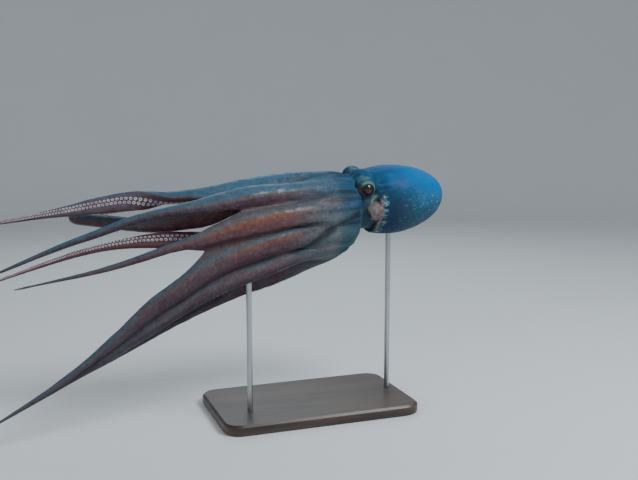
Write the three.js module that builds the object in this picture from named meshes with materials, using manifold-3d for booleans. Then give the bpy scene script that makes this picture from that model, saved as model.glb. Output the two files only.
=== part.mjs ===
// A common octopus, life size, swimming mantle first with its eight arms trailing behind it, on a museum
// display stand of one flat base and two rods. Millimetres, +Z up. The origin is the middle of the base's
// underside. The mantle points along +X and the arms trail along -X; -Y is the animal's left side.
//
// The animal has a frame of its own, with its origin at the middle of the arm crown, and is lifted onto the
// stand as one group. Arms are named by side and by number from the back: L1 is the left dorsal arm.
import * as THREE from "three";
import { mergeVertices } from "three/addons/utils/BufferGeometryUtils.js";
import Module from "manifold-3d";

const wasm = await Module();
wasm.setup();

// ---------------------------------------------------------------- driving dimensions

const CROWN_HEIGHT = 305; // the crown's middle above the floor
const CROWN_AHEAD = 42; // the crown's middle ahead of the base's middle
const ROLL = 14; // degrees: how far the back leans to the animal's left
const GAP = 0.3; // between pieces of flesh that meet
const NECK_CUT = 300; // larger than the head

// The mantle: a blunt sac, open under and beside the neck.
const MANTLE = {
  lip: 56,
  widest: 84,
  apex: 178,
  halfWidth: 52,
  halfHeight: 53.5,
  axisHeight: 11,
  rise: 5,
  lipShare: 0.92,
  bluntness: 0.53,
  sides: 24,
  rows: 10,
  lastTurn: 88.7,
};
// The slit between the mantle's lip and the neck, which stops short of the back, where the two are one flesh.
const OPENING = { ahead: 6, depth: 6, width: 4.5, backFrom: 16 };
// The head's cross-sections from the neck to the collar inside the mantle.
const HEAD = [
  { x: 22, halfWidth: 36, halfHeight: 42, height: 8 },
  { x: 32, halfWidth: 38, halfHeight: 46, height: 13.5 },
  { x: 44, halfWidth: 39, halfHeight: 46.5, height: 13.5 },
  { x: 56, halfWidth: 40, halfHeight: 46, height: 13 },
  { x: 68, halfWidth: 39, halfHeight: 44, height: 12 },
];
const HEAD_SIDES = 20;
const OPENING_SIDES = 32;
const EYE = { x: 34.5, out: 27, up: 30, mound: 16, ball: 10, proud: 7.5, around: 12, rows: 8 };
// The funnel: a blunt tube that leaves the mantle opening on the left, below the eye, and points to the arms.
const FUNNEL = {
  path: [
    [66, -20, 1],
    [56, -30, -1],
    [48, -34, -3],
    [40, -35, -7],
  ],
  rootRadius: 19.5,
  tipRadius: 10,
  bluntness: 3,
  bore: { from: 0.73, to: 1.05, startRadius: 4.4, endRadius: 5.5 },
  sides: 14,
  boreSides: 10,
  rings: 5,
};

// The arm crown: eight arm roots in a ring round the mouth, joined by the web.
const CROWN = {
  neckX: 22,
  shoulderX: 12,
  shoulderLean: 6,
  shoulderBulge: 16,
  shoulderShare: 0.95,
  ringHalfWidth: 43,
  ringHalfHeight: 54,
  height: -10,
  reach: 88,
  fullness: 0.72,
  opensFrom: 16,
  mouthX: -26,
  mouthRadius: 16,
};

// An arm's section, as shares of its half width and half thickness: round outside, flat where the suckers are.
const OUTER = [
  [1, -0.25],
  [0.8, 0.55],
  [0, 1],
  [-0.8, 0.55],
  [-1, -0.25],
];
const INNER = [
  [0.92, -0.62],
  [0.5, -0.9],
  [0, -0.82],
  [-0.5, -0.9],
  [-0.92, -0.62],
];
const RING = [...OUTER, ...[...INNER].reverse()];
const SIDES = RING.length;
const FLESH = 0.72; // the share of an arm's root width that is muscle; the rest is keels of web
const KEEL = 0.35;
const KEEL_FADE = 0.12;
const TIP = 0.04;
const ROOT = { share: 0.8, over: 130 }; // an arm is narrower at its root, where the eight crowd together
const DEPTH = 1.06; // an arm's thickness over its muscle's width

// The arms in their order round the crown. "around" is the root's place on the crown's ring, in degrees from
// straight up towards the left side. "twist" is in degrees, between two shares of the length. "web" is how far
// the web to the next arm reaches. Each path goes on from the root to the tip.
const ARMS = [
  {
    name: "R1",
    around: -10,
    width: 36,
    taper: 0.75,
    keelEnd: 0.74,
    twist: { by: 108, from: 0.46, to: 0.62 },
    web: 215,
    path: [
      [-64, 8, 44],
      [-130, 13, 38],
      [-194, 16, 27],
      [-276, 24, 20],
      [-341, 27, 13],
      [-395, 27, 5],
      [-447, 24, -2],
      [-510, 19, -10],
    ],
  },
  {
    name: "L1",
    around: 34,
    width: 35,
    taper: 0.85,
    keelEnd: 0.4,
    twist: { by: -25, from: 0.1, to: 0.6 },
    web: 185,
    path: [
      [-72, -30, 31],
      [-142, -40, 28],
      [-210, -39, 15],
      [-276, -34, 4],
      [-308, -30, -4],
      [-351, -27, -19],
      [-399, -25, -35],
      [-500, -20, -75],
    ],
  },
  {
    name: "L2",
    around: 78,
    width: 37,
    taper: 1.1,
    keelEnd: 0.45,
    web: 238,
    path: [
      [-60, -48, 0],
      [-117, -55, -6],
      [-185, -58, -19],
      [-214, -57, -29],
      [-261, -54, -41],
      [-299, -50, -53],
      [-347, -46, -66],
      [-460, -38, -87],
    ],
  },
  {
    name: "L3",
    around: 113,
    width: 39,
    taper: 1,
    keelEnd: 0.6,
    web: 480,
    path: [
      [-70, -43, -36],
      [-129, -48, -48],
      [-197, -48, -72],
      [-239, -47, -97],
      [-282, -45, -124],
      [-325, -43, -158],
      [-406, -39, -217],
      [-520, -33, -283],
    ],
  },
  {
    name: "L4",
    around: 146,
    width: 31,
    taper: 0.95,
    keelEnd: 0.66,
    web: 190,
    path: [
      [-62, -29, -64],
      [-110, -32, -80],
      [-194, -33, -107],
      [-281, -30, -157],
      [-375, -28, -209],
      [-514, -24, -282],
    ],
  },
  {
    name: "R4",
    around: 191,
    width: 32,
    taper: 1,
    keelEnd: 0.6,
    web: 180,
    path: [
      [-52, 8, -86],
      [-100, 9, -104],
      [-145, 9, -117],
      [-231, 4, -149],
      [-321, -3, -193],
      [-459, -5, -258],
    ],
  },
  {
    name: "R3",
    around: 247,
    width: 38,
    taper: 1,
    keelEnd: 0.56,
    twist: { by: 22, from: 0.1, to: 0.45 },
    web: 120,
    path: [
      [-51, 46, -32],
      [-130, 50, -46],
      [-185, 46, -49],
      [-239, 42, -44],
      [-300, 37, -44],
      [-368, 30, -53],
      [-506, 24, -93],
    ],
  },
  {
    name: "R2",
    around: 304,
    width: 34,
    taper: 0.32,
    keelEnd: 0.46,
    twist: { by: -140, from: 0.14, to: 0.46 },
    web: 120,
    curls: true,
    path: [
      [-43, 38, 12],
      [-119, 47, 9],
      [-194, 52, -10],
      [-267, 54, -21],
      [-325, 54, -14],
      [-357, 56, -9],
      [-375, 63, -7],
      [-374, 76, -5],
      [-355, 86, -2],
      [-326, 90, 2],
      [-292, 87, 4],
      [-262, 81, 5],
    ],
  },
];
const NO_TWIST = { by: 0, from: 0, to: 1 };
const LENGTHS = { base: [0, 0.42], middle: [0.42, 0.7], tip: [0.7, 1] };
const RING_STEP = 27; // millimetres between an arm's rings
const CURL_STEP = 9; // the same where the arm curls
const WEB_THICKNESS = 2.5;
const WEB_START = 3; // clear of the crown's rim
const WEB_CLEAR = 2 * GAP; // between a web and the arms beside it
const WEB_ROOT = [0.7, -0.45]; // where a web starts, in the shares of an arm's section
const WEB_SAG = 0.3; // how far a web hangs inwards, as a share of the gap that it spans

const BASE = {
  length: 300,
  width: 180,
  thickness: 16,
  corner: 22,
  bevel: 3,
  cornerSegments: 4,
  bevelSegments: 1,
};
const ROD = { radius: 4, sides: 24 };
const MANTLE_ROD = { x: 92, y: 8, top: -29 };
const ARMS_ROD = { x: -142, y: -27, top: -94 };

const FLESH_COLOUR = 0x6b5a58;
const MANTLE_COLOUR = 0x4f6f7d;
const FUNNEL_COLOUR = 0x8f827c;
const EYE_COLOUR = 0xb09a58;
const BASE_COLOUR = 0x2a2320;
const ROD_COLOUR = 0xb8babd;
const FLESH_ROUGHNESS = 0.45;
const EYE_ROUGHNESS = 0.15;
const BASE_ROUGHNESS = 0.4;
const ROD_ROUGHNESS = 0.3;

// ---------------------------------------------------------------- helpers

const radians = THREE.MathUtils.degToRad;
const lerp = THREE.MathUtils.lerp;
const smoothstep = THREE.MathUtils.smoothstep;

// Moves every vertex of a geometry to where a function of its old position puts it.
function shaped(geometry, place) {
  const position = geometry.attributes.position;
  const from = new THREE.Vector3();
  for (let i = 0; i < position.count; i++) {
    const to = place(from.fromBufferAttribute(position, i));
    position.setXYZ(i, to.x, to.y, to.z);
  }
  return geometry;
}

// A closed geometry as a solid that can be joined and cut.
function solid(geometry) {
  geometry.deleteAttribute("normal");
  geometry.deleteAttribute("uv");
  const merged = mergeVertices(geometry, 1e-4);
  return new wasm.Manifold(
    new wasm.Mesh({
      numProp: 3,
      vertProperties: new Float32Array(merged.attributes.position.array),
      triVerts: new Uint32Array(merged.index.array),
    }),
  );
}

// A solid as a named mesh.
function piece(name, made, colour, roughness, metalness = 0) {
  const cut = made.getMesh();
  const geometry = new THREE.BufferGeometry();
  geometry.setAttribute("position", new THREE.BufferAttribute(cut.vertProperties, 3));
  geometry.setIndex(new THREE.BufferAttribute(cut.triVerts, 1));
  geometry.computeVertexNormals();
  const mesh = new THREE.Mesh(
    geometry,
    new THREE.MeshStandardMaterial({ color: colour, roughness, metalness }),
  );
  mesh.name = name;
  return mesh;
}

// A round closed bar: its rings and flat ends are placed by a function of the share along it (0 to 1), the
// angle round it and the share of the radius. Its axis is the direction that "along" grows in.
function bar(sides, rings, place) {
  const cylinder = new THREE.CylinderGeometry(1, 1, 1, sides, rings);
  return solid(
    shaped(cylinder, ({ x, y, z }) => place(y + 0.5, Math.atan2(x, z), Math.hypot(x, z))),
  );
}

// The body's own frame, with the back straight up, turned by the roll about the body's axis.
function rolled(x, y, z) {
  const above = z - MANTLE.axisHeight;
  return new THREE.Vector3(
    x,
    y * Math.cos(radians(ROLL)) - above * Math.sin(radians(ROLL)),
    MANTLE.axisHeight + y * Math.sin(radians(ROLL)) + above * Math.cos(radians(ROLL)),
  );
}

// ---------------------------------------------------------------- arms

function outwards(angle) {
  return new THREE.Vector3(0, -Math.sin(angle), Math.cos(angle));
}

const FRAMES = 2000; // the frames that are carried along each arm's centre line

// An arm's centre line, with frames along it: along, outwards and to the side.
class Arm {
  constructor(settings) {
    Object.assign(this, settings);
    this.angle = radians(this.around);
    const root = new THREE.Vector3(
      0,
      -CROWN.ringHalfWidth * Math.sin(this.angle),
      CROWN.height + CROWN.ringHalfHeight * Math.cos(this.angle),
    );
    const points = [root, ...this.path.map((p) => new THREE.Vector3(...p))];
    this.curve = new THREE.CatmullRomCurve3(points, false, "centripetal");
    this.curve.arcLengthDivisions = 600;
    this.length = this.curve.getLength();
    this.frames = [];
    let out = outwards(this.angle);
    for (let i = 0; i <= FRAMES; i++) {
      const along = this.curve.getTangentAt(i / FRAMES);
      out = out.clone().addScaledVector(along, -out.dot(along)).normalize();
      this.frames.push({ along, out });
    }
  }

  // The frame at a share of the arm's length, turned by the arm's twist.
  frame(share) {
    const { along, out } = this.frames[Math.round(share * FRAMES)];
    const { by, from, to } = this.twist ?? NO_TWIST;
    const turned = out.clone().applyAxisAngle(along, radians(by) * smoothstep(share, from, to));
    return { centre: this.curve.getPointAt(share), out: turned, side: along.clone().cross(turned) };
  }

  muscle(share) {
    return FLESH * Math.pow(1 - share, this.taper) + TIP;
  }

  halfWidth(share) {
    const keel = KEEL * (1 - smoothstep(share, this.keelEnd - KEEL_FADE, this.keelEnd + KEEL_FADE));
    const crowding = lerp(ROOT.share, 1, smoothstep(share * this.length, 0, ROOT.over));
    return (this.width / 2) * (this.muscle(share) + keel) * crowding;
  }

  halfThickness(share) {
    return (this.width / 2) * this.muscle(share) * DEPTH;
  }

  // A point of the section at a share of the length, from its place in the section's own shares. A margin makes
  // the section larger all round, for cutting the arm's neighbours clear of it.
  point(share, [across, up], margin = 0) {
    const { centre, out, side } = this.frame(share);
    return centre
      .clone()
      .addScaledVector(side, across * (this.halfWidth(share) + margin))
      .addScaledVector(out, up * (this.halfThickness(share) + margin));
  }

  // The ring's corners in the order of the angle round a bar.
  corner(share, angle, radius, margin) {
    if (radius < 0.5) return this.point(share, [0, 0]);
    const number = Math.round((angle / (2 * Math.PI)) * SIDES);
    return this.point(share, RING[(SIDES - number) % SIDES], margin);
  }

  // The share of the length that a distance from the root is.
  at(distance) {
    return distance / this.length;
  }

  // One length of the arm, from share to share, as a closed solid. The first one starts where the crown ends.
  piece([from, to], margin = 0) {
    const start = (from === 0 ? this.at(CROWN.reach) : from) + this.at(GAP / 2 - margin);
    const end = to - (to === 1 ? 0 : this.at(GAP / 2 - margin));
    const step = this.curls && to === 1 ? CURL_STEP : RING_STEP;
    const rings = Math.ceil(((end - start) * this.length) / step);
    return bar(SIDES, rings, (along, angle, radius) =>
      this.corner(lerp(start, end, along), angle, radius, margin),
    );
  }
}

const arms = ARMS.map((settings) => new Arm(settings));

// ---------------------------------------------------------------- crown

const COLUMNS_PER_ARM = OUTER.length + 1; // an arm's corners and the web's middle
const COLUMN_SPACING = 7.5; // degrees between an arm's own columns at the neck
const CROWN_ROWS = 4;

// The point of a crown ring in a column, on the outer or the inner face, at a distance along the arms.
function crownPoint(column, section, distance) {
  const arm = arms[Math.floor(column / COLUMNS_PER_ARM)];
  const within = column % COLUMNS_PER_ARM;
  const open = smoothstep(distance, CROWN.opensFrom, CROWN.reach);
  const place = ([across, up]) => {
    const edge = section === OUTER && Math.abs(across) === 1;
    return [across, edge ? lerp(CROWN.fullness, up, open) : up];
  };
  if (within < OUTER.length) return arm.point(arm.at(distance), place(section[within]));
  const next = arms[(arms.indexOf(arm) + 1) % arms.length];
  const here = arm.point(arm.at(distance), place(section[OUTER.length - 1]));
  const there = next.point(next.at(distance), place(section[0]));
  const span = here.distanceTo(there);
  const sag = WEB_SAG * span * (section === OUTER ? open : 1);
  return here.clone().lerp(there, 0.5).addScaledVector(inwards(here, there), sag);
}

// The direction towards the crown's middle line from half way between two points, square to the line
// that joins them.
function inwards(a, b) {
  const across = b.clone().sub(a).normalize();
  const middle = a.clone().add(b).multiplyScalar(0.5);
  const towards = new THREE.Vector3(0, -middle.y, CROWN.height - middle.z);
  return towards.addScaledVector(across, -towards.dot(across)).normalize();
}

// A column's place round the crown's ring: an arm's own columns lie close round it, and a web's half way.
function columnAngle(column) {
  const arm = arms[Math.floor(column / COLUMNS_PER_ARM)];
  const within = column % COLUMNS_PER_ARM;
  if (within < OUTER.length) return arm.angle + radians(COLUMN_SPACING * (within - 2));
  const next = arms[(arms.indexOf(arm) + 1) % arms.length];
  return (arm.angle + next.angle + (next.angle < arm.angle ? 2 * Math.PI : 0)) / 2;
}

// The whole crown is one closed cup: out over the shoulder, along the arms' outer faces, over the rim and
// back along their inner faces to the mouth.
function makeCrown() {
  const neck = HEAD[0];
  const neckRing = (column) => {
    const angle = columnAngle(column) - radians(ROLL);
    return rolled(
      CROWN.neckX,
      -neck.halfWidth * Math.sin(angle),
      neck.height + neck.halfHeight * Math.cos(angle),
    );
  };
  const shoulder = (column) => {
    const root = crownPoint(column, OUTER, 0);
    const angle = columnAngle(column);
    const lean = CROWN.shoulderLean * Math.cos(angle);
    const bulge = CROWN.shoulderBulge * Math.sin(angle) ** 2;
    return new THREE.Vector3(
      CROWN.shoulderX + lean + bulge,
      root.y * CROWN.shoulderShare,
      lerp(CROWN.height, root.z, CROWN.shoulderShare),
    );
  };
  const mouth = (column) => {
    const angle = columnAngle(column);
    return new THREE.Vector3(
      CROWN.mouthX,
      -CROWN.mouthRadius * Math.sin(angle),
      CROWN.height + CROWN.mouthRadius * Math.cos(angle),
    );
  };
  const rows = [neckRing, shoulder];
  for (let row = 0; row <= CROWN_ROWS; row++)
    rows.push((column) => crownPoint(column, OUTER, (row / CROWN_ROWS) * CROWN.reach));
  for (let row = CROWN_ROWS; row > 0; row--)
    rows.push((column) => crownPoint(column, INNER, (row / CROWN_ROWS) * CROWN.reach));
  rows.push(mouth);
  const columns = COLUMNS_PER_ARM * arms.length;
  const last = rows.length - 1;
  const centre = (row) => {
    const sum = new THREE.Vector3();
    for (let column = 0; column < columns; column++) sum.add(rows[row](column));
    return sum.multiplyScalar(1 / columns);
  };
  return bar(columns, last, (along, angle, radius) => {
    const row = Math.round(along * last);
    if (radius < 0.5) return centre(row);
    const column = Math.round((angle / (2 * Math.PI)) * columns);
    return rows[row]((((-column) % columns) + columns) % columns);
  });
}

// ---------------------------------------------------------------- webs

// The web between two neighbouring arms, past the crown: a thin strip that hangs in between their keels.
function makeWeb(arm, next) {
  const rows = Math.ceil((arm.web - CROWN.reach) / RING_STEP);
  const strip = new THREE.BoxGeometry(1, 1, 1, 2, 1, rows);
  return solid(
    shaped(strip, ({ x, y, z }) => {
      const across = x + 0.5;
      const distance = lerp(CROWN.reach + WEB_START, arm.web, z + 0.5);
      const middle = 4 * across * (1 - across);
      const here = arm.point(arm.at(distance), [-WEB_ROOT[0], WEB_ROOT[1]]);
      const there = next.point(next.at(distance), WEB_ROOT);
      const span = here.distanceTo(there);
      return here
        .clone()
        .lerp(there, across)
        .addScaledVector(inwards(here, there), WEB_SAG * span * middle - y * WEB_THICKNESS);
    }),
  );
}

// ---------------------------------------------------------------- mantle, head, eyes and funnel

function mantleShare(x) {
  if (x > MANTLE.widest) {
    const share = (x - MANTLE.widest) / (MANTLE.apex - MANTLE.widest);
    return Math.pow(Math.max(0, 1 - share * share), MANTLE.bluntness);
  }
  const share = (MANTLE.widest - x) / (MANTLE.widest - MANTLE.lip);
  return 1 - (1 - MANTLE.lipShare) * share * share;
}

// A tube round the body's axis, from station to station, each with its own half width, half height and height.
function bodyTube(sides, stations) {
  const last = stations.length - 1;
  return bar(sides, last, (along, angle, radius) => {
    const { x, halfWidth, halfHeight, height } = stations[Math.round(along * last)];
    return rolled(x, -halfWidth * radius * Math.sin(angle), height + halfHeight * radius * Math.cos(angle));
  });
}

// The mantle's rings lie closer together towards its apex, where it turns fastest.
function makeMantle() {
  const stations = [];
  for (let row = 0; row <= MANTLE.rows; row++) {
    const turn = (row / MANTLE.rows) * radians(MANTLE.lastTurn);
    const x = lerp(MANTLE.lip, MANTLE.apex, Math.sin(turn));
    const share = mantleShare(x);
    stations.push({
      x,
      halfWidth: MANTLE.halfWidth * share,
      halfHeight: MANTLE.halfHeight * share,
      height: MANTLE.axisHeight + MANTLE.rise * ((x - MANTLE.lip) / (MANTLE.apex - MANTLE.lip)) ** 2,
    });
  }
  return bodyTube(MANTLE.sides, stations);
}

function headTube(grown) {
  const stations = HEAD.map(({ x, halfWidth, halfHeight, height }) => ({
    x,
    halfWidth: halfWidth + grown,
    halfHeight: halfHeight + grown,
    height,
  }));
  return bodyTube(HEAD_SIDES, stations);
}

function eyeCentre(side, out) {
  return rolled(EYE.x, side * out, MANTLE.axisHeight + EYE.up);
}

function ball(centre, radius) {
  const sphere = new THREE.SphereGeometry(radius, EYE.around, EYE.rows);
  return solid(sphere.translate(centre.x, centre.y, centre.z));
}

// The slit that the mantle's lip leaves round the neck, under it and at its sides but not on the back.
function makeOpening() {
  const collar = HEAD[HEAD.length - 1];
  const slit = bodyTube(
    OPENING_SIDES,
    [MANTLE.lip - OPENING.ahead, MANTLE.lip + OPENING.depth].map((x) => ({
      x,
      halfWidth: collar.halfWidth + OPENING.width,
      halfHeight: collar.halfHeight + OPENING.width,
      height: MANTLE.axisHeight,
    })),
  );
  const across = 2 * MANTLE.apex;
  const back = new THREE.BoxGeometry(across, across, across);
  back.translate(MANTLE.lip, 0, MANTLE.axisHeight + OPENING.backFrom + across / 2);
  return slit.subtract(solid(shaped(back, ({ x, y, z }) => rolled(x, y, z))));
}

// A round bar on the funnel's line, from share to share of its length. A share over 1 goes on straight. Its
// radius changes evenly with a bluntness of 1, and later, towards the end, with a larger one.
function funnelBar(from, to, startRadius, endRadius, sides, bluntness = 1) {
  const curve = new THREE.CatmullRomCurve3(FUNNEL.path.map((p) => new THREE.Vector3(...p)));
  const up = new THREE.Vector3(0, 0, 1);
  return bar(sides, FUNNEL.rings, (along, angle, radius) => {
    const share = lerp(from, to, along);
    const tangent = curve.getTangentAt(Math.min(share, 1));
    const side = tangent.clone().cross(up).normalize();
    const top = side.clone().cross(tangent);
    const reach = radius * lerp(startRadius, endRadius, Math.pow(along, bluntness));
    return curve
      .getPointAt(Math.min(share, 1))
      .addScaledVector(tangent, Math.max(0, share - 1) * curve.getLength())
      .addScaledVector(side, reach * Math.sin(angle))
      .addScaledVector(top, reach * Math.cos(angle));
  });
}

function makeFunnel(grown = 0) {
  const { rootRadius, tipRadius, sides, bluntness } = FUNNEL;
  return funnelBar(0, 1, rootRadius + grown, tipRadius + grown, sides, bluntness);
}

function makeBore() {
  const { from, to, startRadius, endRadius } = FUNNEL.bore;
  return funnelBar(from, to, startRadius, endRadius, FUNNEL.boreSides);
}

// ---------------------------------------------------------------- stand

function makeBase() {
  const { length, width, thickness, corner, bevel } = BASE;
  const [right, back] = [length / 2 - bevel, width / 2 - bevel];
  const outline = new THREE.Shape();
  outline.moveTo(-right + corner, -back);
  outline.lineTo(right - corner, -back);
  outline.absarc(right - corner, -back + corner, corner, -Math.PI / 2, 0);
  outline.lineTo(right, back - corner);
  outline.absarc(right - corner, back - corner, corner, 0, Math.PI / 2);
  outline.lineTo(-right + corner, back);
  outline.absarc(-right + corner, back - corner, corner, Math.PI / 2, Math.PI);
  outline.lineTo(-right, -back + corner);
  outline.absarc(-right + corner, -back + corner, corner, Math.PI, 1.5 * Math.PI);
  const slab = new THREE.ExtrudeGeometry(outline, {
    depth: thickness - 2 * bevel,
    bevelSize: bevel,
    bevelThickness: bevel,
    bevelSegments: BASE.bevelSegments,
    curveSegments: BASE.cornerSegments,
  });
  return solid(slab.translate(0, 0, bevel));
}

// An upright rod of the stand, from the base to a height, in the part's own frame.
function upright(x, y, bottom, top, grown = 0) {
  const rod = new THREE.CylinderGeometry(ROD.radius + grown, ROD.radius + grown, top - bottom, ROD.sides);
  return solid(rod.rotateX(Math.PI / 2).translate(x, y, (bottom + top) / 2));
}

// ---------------------------------------------------------------- putting the pieces together

const animal = new THREE.Group();
animal.position.set(CROWN_AHEAD, 0, CROWN_HEIGHT);
const addFlesh = (name, made, colour) => animal.add(piece(name, made, colour, FLESH_ROUGHNESS));

const funnel = makeFunnel();
const funnelClear = makeFunnel(GAP);
const mounds = (grown) =>
  [-1, 1]
    .map((side) => ball(eyeCentre(side, EYE.out), EYE.mound + grown))
    .reduce((left, right) => left.add(right));
const moundsClear = mounds(GAP);

// The head starts where the crown ends, with an eye sunk in each mound.
const ahead = new THREE.BoxGeometry(NECK_CUT, NECK_CUT, NECK_CUT);
const crownSide = solid(ahead.translate(CROWN.neckX + GAP - NECK_CUT / 2, 0, 0));
let head = headTube(0).subtract(crownSide).add(mounds(0)).subtract(funnelClear);
for (const [name, side] of [
  ["eye_left", -1],
  ["eye_right", 1],
]) {
  const centre = eyeCentre(side, EYE.out + EYE.proud);
  head = head.subtract(ball(centre, EYE.ball + GAP));
  animal.add(piece(name, ball(centre, EYE.ball), EYE_COLOUR, EYE_ROUGHNESS));
}
addFlesh("head", head, MANTLE_COLOUR);

// The clear space that a rod of the stand needs in the flesh, in the animal's frame.
const pocket = ({ x, y, top }) => upright(x, y, -CROWN_HEIGHT, top + GAP, GAP);

const mantle = makeMantle()
  .subtract(headTube(GAP).add(moundsClear))
  .subtract(makeOpening())
  .subtract(funnelClear)
  .subtract(pocket(MANTLE_ROD));
addFlesh("mantle", mantle, MANTLE_COLOUR);
addFlesh("funnel", funnel.subtract(makeBore()), FUNNEL_COLOUR);
addFlesh("arm_crown", makeCrown().subtract(moundsClear).subtract(funnelClear), FLESH_COLOUR);

for (const arm of arms)
  for (const [part, span] of Object.entries(LENGTHS)) {
    const length = arm.piece(span).subtract(pocket(ARMS_ROD));
    addFlesh(`arm_${arm.name}_${part}`, length, FLESH_COLOUR);
  }

arms.forEach((arm, index) => {
  const next = arms[(index + 1) % arms.length];
  const beside = [arm, next].flatMap((neighbour) =>
    Object.values(LENGTHS).map((span) => neighbour.piece(span, WEB_CLEAR)),
  );
  const web = makeWeb(arm, next).subtract(wasm.Manifold.union(beside)).subtract(pocket(ARMS_ROD));
  // An arm's keel can cut a sliver off the web's edge: the web itself is the largest of what is left.
  const [largest] = web.decompose().sort((a, b) => b.volume() - a.volume());
  addFlesh(`web_${arm.name}_${next.name}`, largest, FLESH_COLOUR);
});

const stand = new THREE.Group();
stand.add(piece("stand_base", makeBase(), BASE_COLOUR, BASE_ROUGHNESS));
for (const [name, { x, y, top }] of [
  ["stand_rod_mantle", MANTLE_ROD],
  ["stand_rod_arms", ARMS_ROD],
]) {
  const rod = upright(x + CROWN_AHEAD, y, BASE.thickness + GAP, top + CROWN_HEIGHT);
  stand.add(piece(name, rod, ROD_COLOUR, ROD_ROUGHNESS, 1));
}

const octopus = new THREE.Group();
octopus.add(animal, stand);

export default octopus;
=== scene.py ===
import bisect
import math

import bmesh
import bpy
from bpy.props import FloatProperty, FloatVectorProperty, PointerProperty
from mathutils import Matrix, Vector, noise
from mathutils.bvhtree import BVHTree


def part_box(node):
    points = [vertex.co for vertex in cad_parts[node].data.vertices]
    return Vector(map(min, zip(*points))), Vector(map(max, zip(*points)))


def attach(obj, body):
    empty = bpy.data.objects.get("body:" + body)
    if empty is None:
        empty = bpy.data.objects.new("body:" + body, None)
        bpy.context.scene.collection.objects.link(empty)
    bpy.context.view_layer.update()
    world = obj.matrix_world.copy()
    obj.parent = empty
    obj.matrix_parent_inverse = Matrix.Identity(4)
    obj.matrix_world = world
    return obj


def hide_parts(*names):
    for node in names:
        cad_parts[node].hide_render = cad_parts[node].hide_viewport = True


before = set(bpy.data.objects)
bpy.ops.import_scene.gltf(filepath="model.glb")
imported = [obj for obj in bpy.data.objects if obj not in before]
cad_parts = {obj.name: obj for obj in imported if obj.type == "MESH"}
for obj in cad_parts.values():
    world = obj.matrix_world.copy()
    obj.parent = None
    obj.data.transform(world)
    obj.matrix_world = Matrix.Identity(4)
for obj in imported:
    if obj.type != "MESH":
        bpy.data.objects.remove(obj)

bl_info = {
    "name": "Octopus display model",
    "version": (1, 0, 0),
    "blender": (4, 5, 0),
    "location": "View3D > Sidebar > Octopus",
    "description": "A life-size common octopus swimming mantle first, on a display stand",
    "category": "Object",
}

# ---------------- sizes that the solids share, in millimetres

MM = 0.001
FORWARD = Vector((1, 0, 0))  # the way the mantle points
CROWN_MIDDLE = Vector((42, 0, 305))  # the middle of the arm crown, above the middle of the base
ROLL = math.radians(14)  # the back leans to the animal's left
AXIS_HEIGHT = 11

MANTLE_LIP, MANTLE_WIDEST, MANTLE_APEX = 56, 84, 178
MANTLE_HALF = (52, 53.5)
MANTLE_RISE, LIP_SHARE, BLUNTNESS, LAST_TURN = 5, 0.92, 0.53, math.radians(88.7)

# Places along the body are measured ahead of the crown's middle.
# The head's cross-sections: place along the body, half width, half height and height.
HEAD = [(22, 36, 42, 8), (32, 38, 46, 13.5), (44, 39, 46.5, 13.5), (56, 40, 46, 13), (68, 39, 44, 12)]
EYE_AHEAD, EYE_OUT, EYE_UP, EYE_MOUND, EYE_PROUD = 34.5, 27, 30, 16, 7.5

FUNNEL_PATH = [(66, -20, 1), (56, -30, -1), (48, -34, -3), (40, -35, -7)]
FUNNEL_ROOT, FUNNEL_TIP, FUNNEL_BORE = 19.5, 10, 5.5
FUNNEL_BLUNTNESS = 3

NECK_X, SHOULDER_X, SHOULDER_LEAN, SHOULDER_BULGE, SHOULDER_SHARE = 22, 12, 6, 16, 0.95
RING_HALF_WIDTH, RING_HALF_HEIGHT, RING_HEIGHT = 43, 54, -10
CROWN_REACH, CROWN_FULLNESS, CROWN_OPENS = 88, 0.72, 16
MOUTH_X, MOUTH_RADIUS = -26, 16
COLUMN_SPACING = math.radians(7.5)

# An arm's section, as shares of its half width and half thickness: round outside, flat where the suckers are.
OUTER = [(1, -0.25), (0.8, 0.55), (0, 1), (-0.8, 0.55), (-1, -0.25)]
INNER = [(0.92, -0.62), (0.5, -0.9), (0, -0.82), (-0.5, -0.9), (-0.92, -0.62)]
# Shares of half an arm's width: the muscle and the keels at its root, and its tip. The keels fade out over a
# share of its length.
FLESH, KEEL, TIP, KEEL_FADE = 0.72, 0.35, 0.04, 0.12
DEPTH = 1.06  # thickness over width, without the keels
ROOT_SHARE, ROOT_OVER = 0.8, 130  # how much narrower the roots are, and over how many millimetres
WEB_SAG = 0.3  # how far a web hangs in, over its width

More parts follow.
